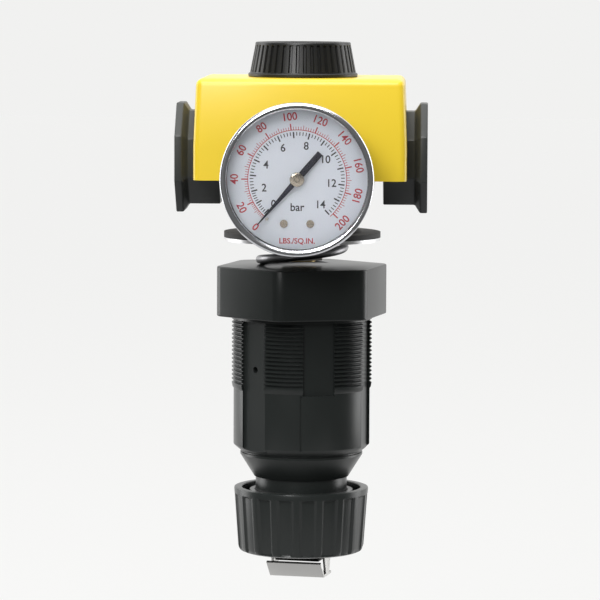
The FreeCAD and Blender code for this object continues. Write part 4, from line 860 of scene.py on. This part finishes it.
# pointer
pointerSpec = {
    "reach": 21.6 * mm, "tail": 12.5 * mm, "halfWidth": 1.15 * mm, "tip": 0.18 * mm, "taperStart": -1.5 * mm,
    "edge": 0.08 * mm, "angle": math.radians(-139.0), "hubRadius": 2.6 * mm, "hubHeight": 1.1 * mm,
    "hubBreak": 0.6 * mm,
}


def makePointer():
    spec = pointerSpec
    width, half = spec["halfWidth"], (pointerHigh.y - pointerLow.y) / 2
    needle = box("needle", (-width, -half, -spec["tail"]), (width, half, spec["reach"]))
    split(needle, spec["taperStart"])
    squeeze(needle, lambda co: co.z > spec["reach"] - tolerance, (spec["tip"] / width, 1, 1))
    roundEdges(needle, spec["edge"], 2)
    needle.rotation_euler = (0, spec["angle"], 0)
    needle.location = (0, (pointerLow.y + pointerHigh.y) / 2, gaugeHeight)
    settle(needle)
    dress(smooth(needle), pointerEnamel, "pointer", "pointer_black", "pointer")
    radius, height = spec["hubRadius"], spec["hubHeight"]
    hub = turned("needleHub", [
        (radius, 0), (radius, spec["hubBreak"]), (radius - 0.2 * mm, 0.95 * mm), (radius - 0.6 * mm, height),
        (1.0 * mm, height), (0.8 * mm, 0.9 * mm),
    ], 64, (True, True))
    aimed(hub, "-Y", (0, pointerLow.y, gaugeHeight))
    dress(smooth(hub), hubNickel, "pointer", "plated_steel", "pointer_hub")


makePointer()
print("pointer made")


# the CAD nodes that stay get their finishes
nodeFinish = {
    "valve_seat": turnedBrass, "cap_o_ring": sealRubber, "valve_poppet": turnedBrass,
    "poppet_seal": sealRubber, "valve_spring": springWire, "diaphragm": sealRubber,
    "slip_ring": pressedAluminium, "diaphragm_plate": pressedAluminium, "spring_plate": pressedAluminium,
    "relief_hub": turnedBrass, "hub_nut": platedSteel, "main_spring": springWire, "spring_nut": turnedBrass,
    "adjusting_screw": platedSteel, "thrust_washer": platedSteel, "retaining_clip": springWire,
    "knob_detent_ring": sealRubber, "rear_port_plug": platedSteel, "rear_plug_washer": sealRubber,
    "gauge_socket": turnedBrass, "gauge_window": clearPane, "gauge_dial": dialEnamel,
    "dial_screws": hubNickel, "stop_pin": platedSteel, "bourdon_tube": turnedBrass,
    "movement_frame": turnedBrass, "movement_screws": platedSteel, "pinion_shaft": platedSteel,
    "sector_gear": turnedBrass, "link": turnedBrass, "hairspring": turnedBrass, "body": stovedBlack,
    "top_cover": coverYellow, "valve_cap": capBlack, "bonnet": mouldedBlack, "adjusting_knob": mouldedBlack,
    "lock_bail": bailSteel, "gauge_case": casePaint, "gauge_bezel": bezelChrome, "pointer": pointerEnamel,
    "pointer_hub": hubNickel,
}
for nodeName, finish in nodeFinish.items():
    slots = frame["nodes"][nodeName].data.materials
    slots.clear()
    slots.append(finish)
print("CAD nodes finished")


# studio
studio = {
    "floorSize": 12, "floorDrop": 60 * mm, "floorGlow": 0.82, "floorShade": 0.05, "backdrop": 0.88,
    "lensWidth": 36.0, "focal": 217.9, "distance": 1343 * mm, "azimuth": math.radians(2.0),
    "eyeHeight": 124.9 * mm, "aimHeight": 5.4 * mm, "aimSide": -0.74 * mm, "roll": math.radians(0.25),
    "farClip": 50, "sheetRise": 5 * mm,
}
paleFloor = (0.975, 0.975, 0.965)
airColour = (1.0, 1.0, 0.99)
# each lamp's name, place, aim, size and power
lamps = [
    ("keyLight", (-0.15, -0.75, 1.05), (0, 0, 0.04), (1.0, 0.7), 17.0),
    ("frontLight", (-0.55, -1.7, 0.75), (0, 0, 0.02), (0.5, 0.5), 12.0),
    ("leftLight", (-1.1, 0.45, 0.2), (0, 0, 0.0), (0.5, 1.2), 5.0),
    ("rightLight", (1.1, 0.45, 0.2), (0, 0, 0.0), (0.5, 1.2), 5.0),
    ("topLight", (0, 0.15, 1.3), (0, 0, 0), (1.4, 1.0), 9.0),
]


def makeFloor(level):
    spec = studio
    clearSelection()
    bpy.ops.mesh.primitive_plane_add(size=spec["floorSize"], location=(0, 0, level))
    floor = newest("studioFloor")
    material = bpy.data.materials.new("paleFloor")
    material.use_nodes = True
    shader = material.node_tree.nodes["Principled BSDF"]
    shader.inputs["Base Color"].default_value = (*[part * spec["floorShade"] for part in paleFloor], 1)
    shader.inputs["Roughness"].default_value = 0.9
    shader.inputs["Emission Color"].default_value = (*paleFloor, 1)
    shader.inputs["Emission Strength"].default_value = spec["floorGlow"]
    floor.data.materials.append(material)
    floor.visible_glossy = False
    floor.visible_diffuse = False


def airRamp(nodes, low, high, darkest):
    # A smooth step from the darkest share up to full strength.
    ramp = nodes.new("ShaderNodeMapRange")
    ramp.interpolation_type = "SMOOTHSTEP"
    for socket, value in (("From Min", low), ("From Max", high), ("To Min", darkest), ("To Max", 1.0)):
        ramp.inputs[socket].default_value = value
    return ramp


def makeAir():
    # The air is white behind the part and dark in front of it and below.
    world = bpy.data.worlds.new("studioAir")
    world.use_nodes = True
    nodes, links = world.node_tree.nodes, world.node_tree.links
    background = nodes["Background"]
    place = nodes.new("ShaderNodeTexCoord")
    parts = nodes.new("ShaderNodeSeparateXYZ")
    depthShade = airRamp(nodes, 0.0, 0.5, 0.11)
    heightShade = airRamp(nodes, -0.9, -0.3, 0.15)
    times = nodes.new("ShaderNodeMath")
    times.operation = "MULTIPLY"
    path = nodes.new("ShaderNodeLightPath")
    seen = nodes.new("ShaderNodeMix")
    seen.inputs["B"].default_value = studio["backdrop"]
    links.new(place.outputs["Generated"], parts.inputs["Vector"])
    links.new(parts.outputs["Y"], depthShade.inputs["Value"])
    links.new(parts.outputs["Z"], heightShade.inputs["Value"])
    links.new(depthShade.outputs["Result"], times.inputs[0])
    links.new(heightShade.outputs["Result"], times.inputs[1])
    links.new(path.outputs["Is Camera Ray"], seen.inputs["Factor"])
    links.new(times.outputs["Value"], seen.inputs["A"])
    links.new(seen.outputs["Result"], background.inputs["Strength"])
    background.inputs["Color"].default_value = (*airColour, 1)
    bpy.context.scene.world = world


def areaLight(name, place, aim, size, power):
    clearSelection()
    bpy.ops.object.light_add(type="AREA", location=place)
    lamp = newest(name)
    lamp.data.shape = "RECTANGLE"
    lamp.data.size, lamp.data.size_y = size
    lamp.data.energy = power
    lamp.rotation_euler = (Vector(aim) - Vector(place)).to_track_quat("-Z", "Y").to_euler()
    return lamp


def makeCamera():
    spec = studio
    across, along = math.sin(spec["azimuth"]), math.cos(spec["azimuth"])
    eye = Vector((spec["distance"] * across, -spec["distance"] * along, spec["eyeHeight"]))
    side = Vector((along, across, 0))
    aim = side * spec["aimSide"] + Vector((0, 0, spec["aimHeight"]))
    clearSelection()
    bpy.ops.object.camera_add(location=eye)
    camera = newest("studioCamera")
    camera.data.sensor_width = spec["lensWidth"]
    camera.data.lens = spec["focal"]
    camera.data.clip_end = spec["farClip"]
    camera.rotation_euler = (aim - eye).to_track_quat("-Z", "Y").to_euler()
    camera.rotation_euler.rotate_axis("Z", spec["roll"])
    scene = bpy.context.scene
    scene.camera = camera
    scene.view_settings.view_transform = "Standard"
    scene.view_settings.look = "None"


def makeStudio():
    level = bailLow.z - studio["floorDrop"]
    makeFloor(level)
    makeAir()
    for lamp in lamps:
        areaLight(*lamp)
    # a faint sheet of light just over the floor, for the faces that look down
    lowSheet = areaLight("lowSheet", (0, -0.06, level + studio["sheetRise"]), (0, -0.06, 0), (0.4, 0.3), 0.22)
    lowSheet.visible_camera = False
    makeCamera()


makeStudio()
print("studio lit")
